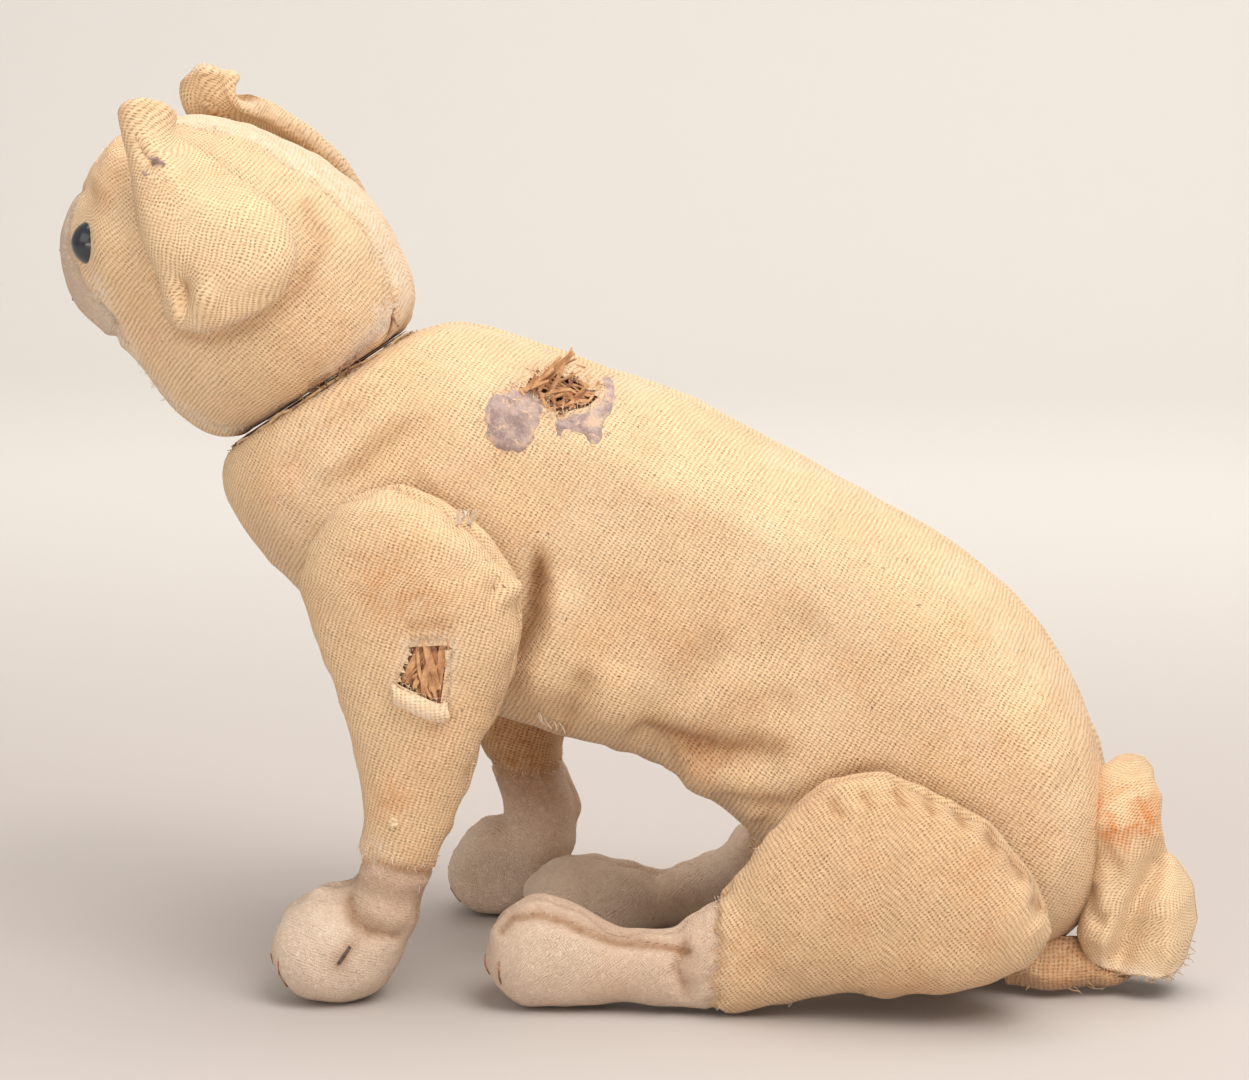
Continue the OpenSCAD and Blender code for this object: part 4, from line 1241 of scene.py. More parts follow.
# Painted shade on the head along its join with the body, and painted shadow under the near ear's lower rim
head.smear("dirt_and_shade", [(-50, 126), (-58, 118), (-66, 112), (-76, 107)], 1.4, 0.35)
head.smear("dirt_and_shade", [(-60, 154), (-56, 147), (-60, 138), (-67, 132), (-76, 129), (-83, 130), (-86, 140)],
    1.6, 0.45)
head.smear("fluff_and_light", [(-46, 132), (-50, 127), (-55, 122)], 2.2, 1.0)
head.smear("felt", [(-46, 130.5), (-50, 126), (-53, 123)], 1.1, 1.0)
low_face = np.clip((138 - head.rest[..., 2]) / 30, 0, 1)
head.fields["dirt_and_shade"] += 0.03 * low_face * np.clip(-head.normals[..., 2] + 0.2, 0, 1) + 0.16 * muzzle
head.fields["stain_and_shade"] = softened(head.fields["stain_and_shade"], 4)

clear_neck(head, 1, HEAD_GAP)
head.build(woven_cover, "head", {
    "head_left_cover": ("woven_cover", ["head_left_panel", "head_wood_wool"], [0]),
    "head_right_cover": ("woven_cover", ["head_right_panel"], [1]),
    "head_gusset_cover": ("woven_cover", ["head_gusset"], [2]),
    "muzzle_felt_cover": ("felt", ["muzzle_felt"], [3])})
head_skin = Skin(head)

seam_side = gusset_edge[gusset_edge[:, 1] < 0]
seam_side = seam_side[np.argsort(seam_side[:, 0])]
strands("gusset_stitches", stitches(head_skin, seam_side[::6], 2.6, 1.5, 0.1, 61, lean=1.2), 0.13,
    tan_thread, "head")
face_fuzz = fuzz(head_skin, [(-102, -20, 137), (-100, -19, 130), (-97, -17, 124)], 130, 1.5, 62, spread=0.8)
face_fuzz += fuzz(head_skin, [(-95, -13, 121), (-90, -14, 116), (-83, -14, 111), (-74, -14, 107)], 160, 1.5,
    63, spread=1.0)
face_fuzz += fuzz(head_skin, [(-104, -8, 160), (-99, -12, 167), (-90, -14, 171), (-76, -11, 168)], 90, 1.2,
    64, spread=1.2)
face_fuzz += fuzz(head_skin, [(-107, -14, 154), (-109, -13, 148), (-106, -14, 138)], 60, 1.0, 65, spread=1.5)
face_fuzz += fuzz(head_skin, [(-46, -12, 142), (-45, -14, 134), (-47, -16, 129)], 70, 1.4, 66, spread=1.0)
strands("head_fuzz", face_fuzz, 0.055, pale_thread, "head", sides=4)

# Thick brown threads where the neck's edge has frayed
nape = [curl(head_skin.close((-46, -10, 132))[0], (-0.3, -0.4, -1), (0.6, -0.6, 0.2), 5, 0.8, 0.6),
        curl(head_skin.close((-45, -9, 133))[0], (0.2, -0.5, -1), (0.6, -0.6, 0.2), 4, -0.8, 1.0),
        curl(head_skin.close((-50, -18, 125))[0], (-0.7, -0.3, -0.6), (0.3, -0.9, 0.2), 5, 0.9, 0.8),
        curl(head_skin.close((-52, -19, 124))[0], (-0.5, -0.2, -0.9), (0.3, -0.9, 0.2), 4, -0.7, 0.9),
        curl(head_skin.close((-55, -21, 121))[0], (-0.8, -0.2, -0.5), (0.3, -0.9, 0.2), 5, 0.6, 0.7)]
strands("nape_threads", nape, 0.26, brown_thread, "head", sides=6)

# Mouth and nose are worn embroidery
nose = [head_skin.close((-112, y, 143 - 0.9 * k)) for k in range(5)
    for y in np.linspace(-3.2 + 0.7 * k, 3.2 - 0.7 * k, 7)]
nose_paths = [[nose[7 * k + j][0] + nose[7 * k + j][1] * 0.15 for j in range(7)] for k in range(5)]
strands("nose_embroidery", nose_paths, 0.38, dark_thread, "head", ["nose_stitching"])
mouth_paths = [[sum(head_skin.close((-112, y, z))[j] * (1, 0.15)[j] for j in (0, 1)) for y, z in line]
    for line in (
    [(0, 138.5), (0, 137), (0, 135.5), (0, 134.5)],
    [(0, 134.5), (-1.6, 133.6), (-3.2, 132.9), (-4.8, 132.6)],
    [(0, 134.5), (1.6, 133.6), (3.2, 132.9), (4.8, 132.6)])]
strands("mouth_embroidery", mouth_paths, 0.30, dark_thread, "head", ["mouth_stitching"])


def lay_on(grid, skin, gap):
    """Lifts the points of a sheet that would sink into a cover."""
    flat = grid.reshape(-1, 3)
    for i, p in enumerate(flat):
        near, normal = skin.close(p)
        over = (p - near) @ normal
        if over < gap:
            flat[i] = p + normal * (gap - over)
    return flat.reshape(grid.shape)


def make_ear(name, net, node, seed, side):
    grid = patch_grid(net, 84, 96)
    grid = grid + 0.30 * ripple(grid, 9, seed)[..., None] * np.array([0.2, side, 0.1])
    grid = grid + 0.12 * ripple(grid, 4, seed + 1)[..., None] * np.array([0.2, side, 0.1])
    fields = np.zeros(grid.shape[:2])
    u, v = np.meshgrid(np.linspace(0, 1, 84), np.linspace(0, 1, 96), indexing="ij")
    for (a, b), size, depth in [((0.36, 0.84), 0.07, 2.8), ((0.26, 0.93), 0.05, -1.2),
            ((0.48, 0.88), 0.06, -1.4), ((0.42, 0.26), 0.05, 2.0), ((0.05, 0.78), 0.06, 1.0),
            ((0.55, 0.12), 0.16, 0.9)]:
        grid = grid - (side * depth * bell(np.hypot(u - a, v - b), size))[..., None] * np.array([0, 1.0, 0])
    grid = lay_on(grid, head_skin, 1.5 if side < 0 else 1.3)
    bulk = (2.2 + 2.6 * bell(v, 0.18) + (1.8 if side > 0 else 1.0) * bell(u - 0.88, 0.18)
        + 1.2 * bell(np.hypot(u - 0.5, v - 0.7), 0.3))
    points, faces, _ = layered(grid, bulk, np.array([0.0, side, 0.0]))
    run = length_along(grid, 0), length_along(grid, 1)
    a, b = math.radians(38), math.radians(126)
    place = np.stack([run[0] * math.cos(a) + run[1] * math.sin(a),
        run[0] * math.cos(b) + run[1] * math.sin(b)], 2)
    rim = np.minimum(np.minimum(u, 1 - u) * 40, np.minimum(v, 1 - v) * 50)
    attributes = {"cloth": np.tile(place.reshape(-1, 2), (2, 1)), "felt": np.zeros(len(points))}
    attributes["fluff_and_light"] = np.tile((0.5 * bell(rim, 1.5)).ravel(), 2)
    attributes["stain_and_shade"] = np.tile(np.clip(0.25 * ripple(grid, 12, seed + 2), 0, 1).ravel(), 2)
    # The ear is darker along its rim and along one edge, and its two deepest dents are darkened as painted
    # shade
    attributes["dirt_and_shade"] = np.tile((0.25 * bell(rim, 2.0) + 0.3 * bell(u, 0.10)
        + 0.7 * bell(np.hypot(u - 0.36, v - 0.84), 0.05)
        + 1.0 * bell(np.hypot(u - 0.42, v - 0.26), 0.035)).ravel(), 2)
    ear = mesh_object(name, points, faces, woven_cover, "head", [node], attributes)
    return ear, grid


left_ear_net = [
    [(-93, -22, 172), (-92.5, -26, 166), (-90.5, -32, 158), (-89, -34, 150), (-85, -36, 141),
        (-83.5, -36, 133)],
    [(-93, -26.5, 174), (-91.5, -30, 166), (-87.5, -36, 158), (-84.5, -39, 150), (-81.5, -40, 141),
        (-80, -39.5, 131.5)],
    [(-90.5, -28.5, 175), (-88.6, -32, 167), (-82, -36.5, 159.5), (-75.5, -40.5, 151), (-73.5, -43, 142),
        (-74, -41.5, 131.5)],
    [(-88, -26.5, 174), (-85.8, -29.5, 166.5), (-77.5, -34, 160), (-68, -39, 153), (-64, -42, 144),
        (-66, -41, 134.5)],
    [(-87.2, -22, 171.5), (-84.4, -25, 167), (-73.5, -31, 161.5), (-62.5, -34.5, 154.5), (-58, -37, 146.5),
        (-60.5, -38, 139)]]
right_ear_net = [
    [(-93.8, 27, 174), (-94.6, 28, 169), (-91.5, 31, 160), (-89, 34, 150), (-85, 36, 141), (-83.5, 36, 134)],
    [(-92.6, 24.6, 178), (-92.2, 26.6, 170.5), (-86, 32, 161), (-82, 36, 151), (-80.5, 38, 142),
        (-79, 38, 132.5)],
    [(-90, 24.0, 179), (-89, 26, 171.5), (-80.5, 30, 164), (-75, 34, 155), (-73, 39, 143), (-73, 39, 132.5)],
    [(-87.6, 24.4, 178), (-85.6, 25.6, 172), (-76.4, 26, 167.4), (-67.6, 30, 159), (-64.4, 36.5, 147),
        (-66, 38.5, 135.5)],
    [(-86.6, 26, 175), (-83, 25, 171.4), (-73.4, 22, 168), (-63.0, 25, 159.4), (-57.8, 31, 148),
        (-60, 35, 139)]]
# One ear's outline in side view is about 800 mm2; its flat cut is a tenth more for its curve,
# plus a turned rim 4 mm wide along 90 mm of edge
ears = {}
for ear_name, net, node, seed, side in [("left_ear_flap", left_ear_net, "left_ear", 71, -1),
        ("right_ear_flap", right_ear_net, "right_ear", 81, 1)]:
    ear, ear_grid = make_ear(ear_name, net, node, seed, side)
    ears[ear_name] = ear_grid
near_ear = ears["left_ear_flap"].reshape(-1, 3)
knot_at = near_ear[np.linalg.norm(near_ear - (-84.8, -33, 161), axis=1).argmin()]
knot = [curl(knot_at + (0, -0.9, 0), (math.cos(a), -0.2, math.sin(a)), (0, -1, 0), 2.4, b, 0.7, 7)
    for a, b in [(0.4, 1.2), (2.0, -1.0), (3.4, 1.1), (5.0, -1.2), (1.2, 0.8), (4.2, 0.9)]]
strands("ear_knot", knot, 0.36, purple_thread, "head", sides=6)
for n, (ear_name, ear_grid) in enumerate(ears.items()):
    side = (-1, 1)[n]
    edge_line = np.concatenate([ear_grid[2:-2:6, -2], ear_grid[-2, -2:40:-6]])
    rim_stitches = []
    r = np.random.default_rng(90 + n)
    for place in edge_line:
        near, normal = head_skin.close(place)
        t = np.linspace(0, 1, 6)[:, None]
        away = np.array([0.2, 0, -1.0]) + r.normal(0, 0.3, 3)
        if r.uniform() < 0.5 and np.linalg.norm(near - place) < 6:
            rim_stitches.append(place + (near + away * 1.4 - place) * t + normal * 0.6 * np.sin(math.pi * t))
    if rim_stitches:
        strands("left_ear_stitches" if n == 0 else "right_ear_stitches", rim_stitches, 0.13, tan_thread,
            "head")


# ---- Legs ---------------------------------------------------------------------------------------

leg_axes = {
    "left_front_leg": [(-39, -36.5, 93), (-36, -36.5, 78), (-35, -36.5, 60), (-37, -36.5, 44),
        (-40, -36.5, 29), (-45, -36.5, 17), (-54, -36.5, 9)],
    "right_front_leg": [(-37, 36.5, 93), (-33, 36.5, 78), (-28, 36.5, 60), (-25.5, 36.5, 44),
        (-24.5, 36.5, 29), (-26, 36.5, 17), (-34, 36.5, 9)],
    "left_hind_leg": [(76, -36.5, 21), (60, -36.5, 26), (45, -36.5, 25), (32, -36.5, 16), (18, -36.5, 9),
        (5, -36.5, 8.5), (-6, -36.5, 10), (-14, -36.5, 10)],
    "right_hind_leg": [(76, 36.5, 21), (60, 36.5, 26), (45, 36.5, 25), (32, 36, 15), (18, 31, 8),
        (5, 23, 7), (-6, 17.5, 8), (-14, 15, 8)]}
HOLE = frayed([(-34.5, 73.5), (-31, 74.2), (-28, 74.5), (-26.5, 73), (-26.8, 68), (-27.3, 63.5),
        (-28.5, 61.5), (-32.5, 63), (-37, 65.5), (-36.6, 67.5), (-35, 70.5)], 0.14, 101, 2.0)
TOE_TIPS = ((-62, 7), (-40, 7), (-21, 8), (-21, 7))
FOOT_MIDDLES = (-36.5, 36.5, -36.5, 14.5)
FRONT_SHIFT = 14                 # how far the right front leg stands behind the left one
legs, skins = {}, {}
for number, name in enumerate(LEGS):
    front, side = "front" in name, -1 if "left" in name else 1
    leg = Stuffed([name + "_outer_panel", name + "_inner_panel", name + "_foot_felt"], leg_axes[name], 76,
        64, 21 if front else 142, passes=8, fan=10, backup=[name + "_wood_wool"])
    foot = leg.owner == 2
    foot_edge = edges_between(leg.rest, np.where(foot, 1, 0))
    edge_line = seam_points(leg, [0, leg.count // 2])
    dx = FRONT_SHIFT if number == RIGHT_FRONT else 0
    if front:
        leg.stroke([(-57 + dx, 92), (-50 + dx, 99), (-40 + dx, 101.5), (-30 + dx, 99), (-23 + dx, 92.5),
            (-18 + dx, 86)], 1.3, 0.9, side)
        leg.stroke([(-52 + dx, 96), (-40 + dx, 97.5), (-28 + dx, 93)], 3.5, -0.5, side)
        leg.stroke([(-17 + dx, 84), (-15 + dx, 81)], 3.0, -1.2, side)
        leg.stroke([(-19 + dx, 85), (-19.5 + dx, 79)], 1.2, 0.9, side)
        leg.stroke([(-52 + dx, 26), (-46 + dx, 23), (-38 + dx, 21), (-32 + dx, 22)], 2.2, 1.1, side)
        leg.stroke([(-49 + dx, 21), (-44 + dx, 17), (-39 + dx, 14)], 1.8, 1.3, side)
    else:
        leg.stroke([(82, 33), (72, 42), (60, 46), (49, 45), (40, 40)], 1.6, 0.9, side)
        leg.stroke([(30, 14), (36, 8), (44, 6)], 3.0, 1.0, side)
        leg.stroke([(18, 15), (17, 9), (19, 3)], 2.2, 1.6, side)
        leg.stroke([(26, 26), (31, 19), (38, 13)], 4.0, 0.9, side)
        leg.stroke([(60, 20), (68, 12), (76, 8)], 5.0, -0.7, side)
        leg.stroke([(84, 22), (88, 18)], 3.5, -1.0, side)
        # Painted shade along the top of the thigh and, on the near leg, in its gathers
        leg.smear("dirt_and_shade", [(44, 41), (56, 43), (68, 40), (78, 33)], 4.0, 0.20, side)
        gathers = [(x + 1.4 * k, z - 2.0 * k) for x, z in [(46, 44), (52, 45.5), (58, 46), (64, 44.6),
                (70, 42), (76, 37.5), (81, 32), (84.5, 25)] for k in (0, 1)]
        for n in range(0, len(gathers), 2):
            leg.stroke([gathers[n], gathers[n + 1]], 1.1, 0.7, side, ends=0)
            if side < 0:
                leg.smear("dirt_and_shade", [gathers[n], gathers[n + 1]], 0.9, 0.5)
    leg.lumps(22, 0.26, 110 + number)
    leg.lumps(8, 0.15, 120 + number)
    leg.lumps(4, 0.06, 130 + number)
    leg.seam(edge_line, 0.8, 1.1, 0.30, 3.4, 4.5, 0.25, 140 + number)
    leg.seam(foot_edge, 0.8, 1.0, 0.12, 3.0, 3.0, 0.35, 150 + number)
    leg.fields["felt"] = softened(foot.astype(float), 5)
    leg.fields["fluff_and_light"] += 0.35 * bell(nearest_distance(leg.rest, foot_edge), 3.0)
    low = np.clip((26 - leg.rest[..., 2]) / 26, 0, 1)
    leg.fields["dirt_and_shade"] += (0.12 * low * np.clip(-leg.normals[..., 2], 0, 1)
        + (0.14 if front else 0.28) * ~foot + (0.16 if number == LEFT_HIND else 0.0) * foot)
    leg.fields["stain_and_shade"] += 0.12 * (ripple(leg.rest, 18, 160 + number) > 0.3)
    if number == LEFT_FRONT:
        outer = leg.normals[..., 1] < -0.2
        leg.cut(HOLE)
        leg.fields["fluff_and_light"] += 0.8 * bell(edge_distance(leg.flat(), HOLE), 1.4) * outer
        leg.stroke([(-38, 64.5), (-33, 61.5), (-28, 59.5)], 1.6, -0.9)
        for x, z, radius, amount in [(-38, 83, 5, 1.0), (-31, 81, 4, 0.9), (-37, 46, 5, 0.6),
                (-31, 56, 4, 0.4), (-44, 88, 4, 0.5), (-34, 92, 4, 0.4), (-39, 41, 4, 0.9)]:
            leg.spot("stain_and_shade", (x, z), radius, amount)
        leg.smear("dirt_and_shade", [(-34, 77), (-27, 77)], 1.5, 0.35)
        leg.smear("dirt_and_shade", [(-49, 10), (-47, 13)], 1.8, 0.7)
        leg.smear("fluff_and_light", [(-47, 33), (-42, 31)], 2.6, 0.7)
        band = ((leg.rest[..., 2] < 28.5)
            & (leg.rest[..., 0] > -50 + (leg.rest[..., 2] - 22) * -0.5) & (leg.rest[..., 2] > 13))
        leg.fields["dirt_and_shade"] += 0.40 * softened(band.astype(float), 3)
        # The ankle crease is pressed in and darkened as painted shade
        leg.stroke([(-49, 22), (-46.5, 18), (-43, 15.5), (-38, 14)], 1.2, 1.2, side, ends=0)
        leg.smear("dirt_and_shade", [(-49, 22), (-46.5, 18), (-43, 15.5), (-38, 14)], 0.9, 0.5)
        leg.smear("fluff_and_light", [(-52, 17), (-47, 13)], 3.4, 0.6)
    if number == LEFT_HIND:
        top_seam = [(-18, 16), (-16, 18.5), (-11, 19.5), (-6, 18.4), (-2, 16.6), (4, 14.6), (8, 14.4),
            (14, 14), (18, 13.6)]
        leg.stroke(top_seam, 1.0, 0.6, side, ends=0)
        leg.smear("dirt_and_shade", top_seam, 0.8, 0.8)
        leg.stroke([(17, 15), (16, 10), (18, 4)], 1.1, 0.9, side, ends=0)
        leg.smear("dirt_and_shade", [(17, 15), (16, 10), (18, 4)], 0.8, 0.5)
        for x, z, radius, amount in [(54, 35, 4, 0.5), (72, 33, 4, 0.5), (76, 20, 4, 0.6), (50, 23, 4, 0.5),
                (61, 8, 5, 0.6), (73, 28, 3, 0.4), (30, 14, 6, 0.5)]:
            leg.spot("stain_and_shade", (x, z), radius, amount)
    if number == RIGHT_FRONT:
        # Painted shade: the far front leg's inner side is darkened above its paw
        shaded_inner_side = np.clip(0.4 - 0.9 * leg.normals[..., 1], 0, 1)
        leg.fields["dirt_and_shade"] += 0.95 * np.clip((leg.rest[..., 2] - 16) / 14, 0, 1) * shaded_inner_side
    if number == RIGHT_HIND:
        # Painted light: the far hind foot, which lies in shadow, is lightened
        leg.fields["fluff_and_light"] += 0.5 * foot
    leg.fields["stain_and_shade"] = softened(leg.fields["stain_and_shade"], 3)
    outer_slot = {name + "_outer_cover": ("woven_cover", [name + "_outer_panel", name + "_wood_wool"], [0]),
                  name + "_inner_cover": ("woven_cover", [name + "_inner_panel"], [1]),
                  name + "_foot_cover": ("felt", [name + "_foot_felt"], [2])}
    if number == LEFT_FRONT:
        outer_slot[name + "_outer_cover"] = ("woven_cover", [name + "_outer_panel"], [0])
    leg.build(woven_cover, name, outer_slot)
    legs[name], skins[name] = leg, Skin(leg)

    skin = skins[name]
    ring = foot_edge[np.argsort(np.arctan2(foot_edge[:, 1] - foot_edge[:, 1].mean(),
        (foot_edge[:, 0] - foot_edge[:, 0].mean()) + (foot_edge[:, 2] - foot_edge[:, 2].mean())))]
    strands(name + "_foot_stitches", stitches(skin, np.vstack([ring[::5], ring[:1]]), 2.8, 1.8, 0.25,
        170 + number, side), 0.14, tan_thread, name)
    paths = fuzz(skin, ring[::4], 90, 1.3, 180 + number, side, 1.4)
    paths += fuzz(skin, edge_line[::9], 130, 1.2, 190 + number, side, 0.8)
    strands(name + "_fuzz", paths, 0.055, pale_thread, name, sides=4)
    toe = TOE_TIPS[number]
    middle = FOOT_MIDDLES[number]
    claws = []
    for y in (-6.5, -2.4, 2.4, 6.5):
        line = [skin.close((toe[0] - 1 + 0.10 * y * y, middle + y, toe[1] + dz))
            for dz in (-2.2, -0.8, 0.8, 2.2)]
        claws.append([p + n * 0.18 for p, n in line])
    strands(name + "_claws", claws, 0.20, brown_thread, name, [name + "_claw_stitches"], sides=6)

leg_skin = skins["left_front_leg"]
# Painted shade: the stuffing behind the leg's hole is a dark sheet
decal("left_front_leg_filling", leg_skin, [(-38, 76.5), (-27, 78), (-23, 75), (-23, 61), (-28, 57),
        (-41.5, 63), (-39.5, 71)], -HOLE_DEPTH, 0.6, painted_shade_filling, "left_front_leg",
    ["left_front_leg_wood_wool"], lumps=0.4, edge=-1.3, seed=201)
shavings("left_front_leg_dark_shavings", leg_skin, HOLE, 36, 1.5, "left_front_leg", 302, (5, 11), 0.4,
    along=1.45, width=(0.5, 1.3), material=red_shavings)
shavings("left_front_leg_shavings", leg_skin, HOLE, 30, 1.1, "left_front_leg", 202, (6, 12), 0.5, along=1.4,
    width=(0.6, 1.7))
hole_fuzz = fuzz(leg_skin, np.vstack([HOLE, HOLE[:1]]), 200, 1.1, 203, spread=0.5, outward=0.4)
strands("leg_hole_fray", hole_fuzz, 0.06, cream_thread, "left_front_leg", sides=4)
flap_net = []
for x, z in [(-38, 65.4), (-35, 63.9), (-32, 62.6), (-29, 61.3), (-27.6, 62)]:
    (p, n) = leg_skin.at(x, z)
    flap_net.append([p - n * 0.3, p + n * 1.1 + (0, 0, -0.6), p + n * 1.5 + (0.2, 0, -2.2),
        p + n * 0.4 + (0.3, 0, -3.6)])
flap_grid = patch_grid(flap_net, 40, 18)
flap_grid += 0.18 * ripple(flap_grid, 3, 204)[..., None]
points, faces, _ = layered(flap_grid, 1.1, np.array([0, -1.0, 0]))
mesh_object("leg_hole_flap", points, faces, woven_cover, "left_front_leg", (),
            plain_fields(points, 0.7, 0.0, 0.0))
tufts = []
for place in [(-26, 95.5), (-25, 94)]:
    p, n = leg_skin.at(*place)
    tufts += [p + curl((0, 0, 0), (rng.normal(0.2, 0.5), -0.5, 1), n, 3.2, rng.normal(0, 0.8), 0.8, 6)
        for _ in range(14)]
p, n = leg_skin.at(-38.4, 37.6)
nub = [p + curl((0, 0, 0), (math.cos(a), -0.3, math.sin(a)), n, 0.8, 0.3, 0.5, 6)
    for a in (0.3, 1.5, 2.8, 4.0, 5.2)]
strands("leg_nub", nub, 0.50, cream_thread, "left_front_leg", sides=6)
strands("leg_tuft", tufts, 0.08, pale_thread, "left_front_leg", sides=4)
strands("leg_seam_stitches", stitches(leg_skin, [(-28, 97), (-23, 92), (-19, 86), (-16, 82)], 2.6, 1.9,
        0.05, 205, lean=1.4, skip=0) + stitches(leg_skin, [(-19, 84), (-19.4, 79)], 2.0, 1.6, 0.05, 206,
        lean=1.4, skip=0), 0.11, brown_thread, "left_front_leg")
dash = [leg_skin.at(x, z)[0] + leg_skin.at(x, z)[1] * 0.1
    for x, z in [(-49.2, 9.6), (-48.4, 10.8), (-47.6, 12), (-47, 13)]]
strands("foot_dash", [dash], 0.42, dark_thread, "left_front_leg", sides=6)
hind_skin = skins["left_hind_leg"]
strands("hind_foot_seam", stitches(hind_skin, [(-18, 16), (-16, 18.5), (-11, 19.5), (-6, 18.4), (-2, 16.6),
        (4, 14.6), (8, 14.4), (14, 14), (18, 13.6)], 1.9, 1.2, 0.05, 207, lean=1.3, skip=0.15), 0.15,
    brown_thread, "left_hind_leg")
strands("thigh_stitches", stitches(hind_skin, [(44, 43), (52, 45), (60, 45), (68, 42), (75, 38), (81, 32),
        (85, 24)], 2.6, 1.3, 0.0, 208, skip=0.3), 0.10, tan_thread, "left_hind_leg")


# ---- Tail ---------------------------------------------------------------------------------------

def tail_tube():
    """A limp cloth tube that hangs from its seam: closed at the top, open below, folded at its back."""
    rows, count = 100, 132
    t = np.concatenate([[0], np.linspace(0.004, 1, rows - 1)])
    heights = np.interp(t, [0, 0.2, 0.5, 0.8, 1], [47, 39, 27, 14, 6.6])
    centre_x = np.interp(t, [0, 0.1, 0.3, 0.5, 0.7, 1], [101.5, 101, 100.5, 101, 103, 103.6])
    half_x = np.interp(t, [0, 0.02, 0.08, 0.2, 0.5, 0.62, 0.85, 1],
        [0, 2.8, 5.4, 7.2, 7.8, 10.0, 11.2, 10.2])
    centre_y = np.interp(t, [0, 0.3, 1], [-6.5, -8.5, -9])
    half_y = np.interp(t, [0, 0.02, 0.1, 0.3, 0.7, 1], [0, 2.5, 5.0, 7.0, 8.6, 8.2])
    a = 2 * math.pi * np.arange(count) / count
    grid = np.zeros((rows, count, 3))
    for i in range(rows):
        x = centre_x[i] + half_x[i] * np.sign(np.cos(a)) * abs(np.cos(a)) ** 0.70
        y = centre_y[i] + half_y[i] * np.sign(np.sin(a)) * abs(np.sin(a)) ** 0.85
        grid[i] = np.column_stack([x, y,
            heights[i] + t[i] * (0.9 * np.sin(2 * a + 0.6) + 1.2 * np.cos(a - 0.6))])
    near = np.clip((centre_y[:, None] - grid[..., 1]) / 4, 0, 1)
    flat = grid[..., [0, 2]]

    def push(line, width, depth):
        distance, share = to_line(flat, line)
        ends = np.clip(np.minimum(share, 1 - share) / 0.2, 0, 1)
        grid[..., 1] += depth * bell(distance, width) * ends * near

    push([(108, 31), (105.5, 24), (103, 17), (101, 9), (100, 2)], 2.4, 4.6)
    push([(97, 30), (99, 24), (98, 17), (95, 12)], 1.8, 1.6)
    push([(100, 44), (99.5, 34), (98.5, 24), (97, 12), (96, 4)], 3.0, -1.6)
    push([(110, 24), (110.5, 15), (110, 6)], 2.6, -1.2)
    push([(93, 22), (95, 17), (98, 15)], 1.5, 1.6)
    ends = np.clip((t - 0.03) * 20, 0, 1)[:, None, None]
    grid += ends * (0.40 * ripple(grid, 9, 211)[..., None] + 0.16 * ripple(grid, 4, 212)[..., None])
    return grid


tail_grid = tail_tube()
rows, count, _ = tail_grid.shape
tail_normals = np.cross(np.gradient(tail_grid, axis=0), np.roll(tail_grid, -1, 1) - np.roll(tail_grid, 1, 1))
tail_normals /= np.maximum(np.linalg.norm(tail_normals, axis=2, keepdims=True), 1e-9)
if (tail_normals * (tail_grid - tail_grid.mean(1, keepdims=True))).sum() < 0:
    tail_normals = -tail_normals
tail_inner = tail_grid - 0.8 * tail_normals
tail_inner[0] = tail_grid[0] - (0, 0, 0.8)
tail_points = np.concatenate([tail_grid.reshape(-1, 3), tail_inner.reshape(-1, 3)])
base, tail_faces = rows * count, []
for i in range(rows - 1):
    for k in range(count):
        n = (k + 1) % count
        q = (i * count + k, (i + 1) * count + k, (i + 1) * count + n, i * count + n) if i else (0,
            count + k, count + n)
        tail_faces += [q, tuple(base + v for v in q[::-1])]
for k in range(count):
    n = (k + 1) % count
    low = (rows - 1) * count
    tail_faces.append((low + n, low + k, base + low + k, base + low + n))
around = length_along(np.concatenate([tail_grid, tail_grid[:, :1]], 1), 1)[:, :count]
down = length_along(tail_grid, 0)
tail_fields = {"cloth": np.tile(np.stack([around, down], 2).reshape(-1, 2), (2, 1)),
    "felt": np.zeros(2 * base), "fluff_and_light": np.tile((0.7 * bell(down - down[-1], 2.0) + 0.1).ravel(), 2)}
tail_stain = bell(tail_grid[..., 2] - 36, 6) * np.clip(-tail_normals[..., 1], 0, 1) * 2.4
# Painted shade: the inside of the tube is darkened and browned all over
tail_fields["stain_and_shade"] = np.concatenate([tail_stain.ravel(), 0.8 * np.ones(base)])
tail_fields["dirt_and_shade"] = np.concatenate([(0.15 * bell(down, 3)).ravel(), 0.9 * np.ones(base)])
tail_points, tail_faces, tail_fields = compact(tail_points, tail_faces, tail_fields)
tail_piece = mesh_object("tail_tube", tail_points, tail_faces, woven_cover, "tail", ["tail_cover"],
    tail_fields)
r = np.random.default_rng(213)
fray = []
for _ in range(130):
    k = r.integers(count)
    start = tail_grid[-1, k]
    fray.append(start + curl((0, 0, 0.3), (r.normal(0, 0.6), r.normal(0, 0.6), -0.5), (0, -1, 0),
        r.uniform(1.0, 2.4), r.normal(0, 0.5), 0.2, 6) * (1, 1, 0.6))
strands("tail_fray", fray, 0.08, tan_thread, "tail", sides=4)


# ---- Joins between the parts ---------------------------------------------------------------------

def neck_ring(along, up, offset):
    """Points round the neck, level with its disc: half sizes, and height over its plane."""
    axis = np.array([math.cos(NECK_TILT), 0, math.sin(NECK_TILT)])
    a = np.linspace(0, 2 * math.pi, 90)
    level = NECK_CENTRE + np.outer(np.cos(a) * along, axis) + np.outer(np.sin(a) * up, (0, 1, 0))
    return level + NECK_UP * offset


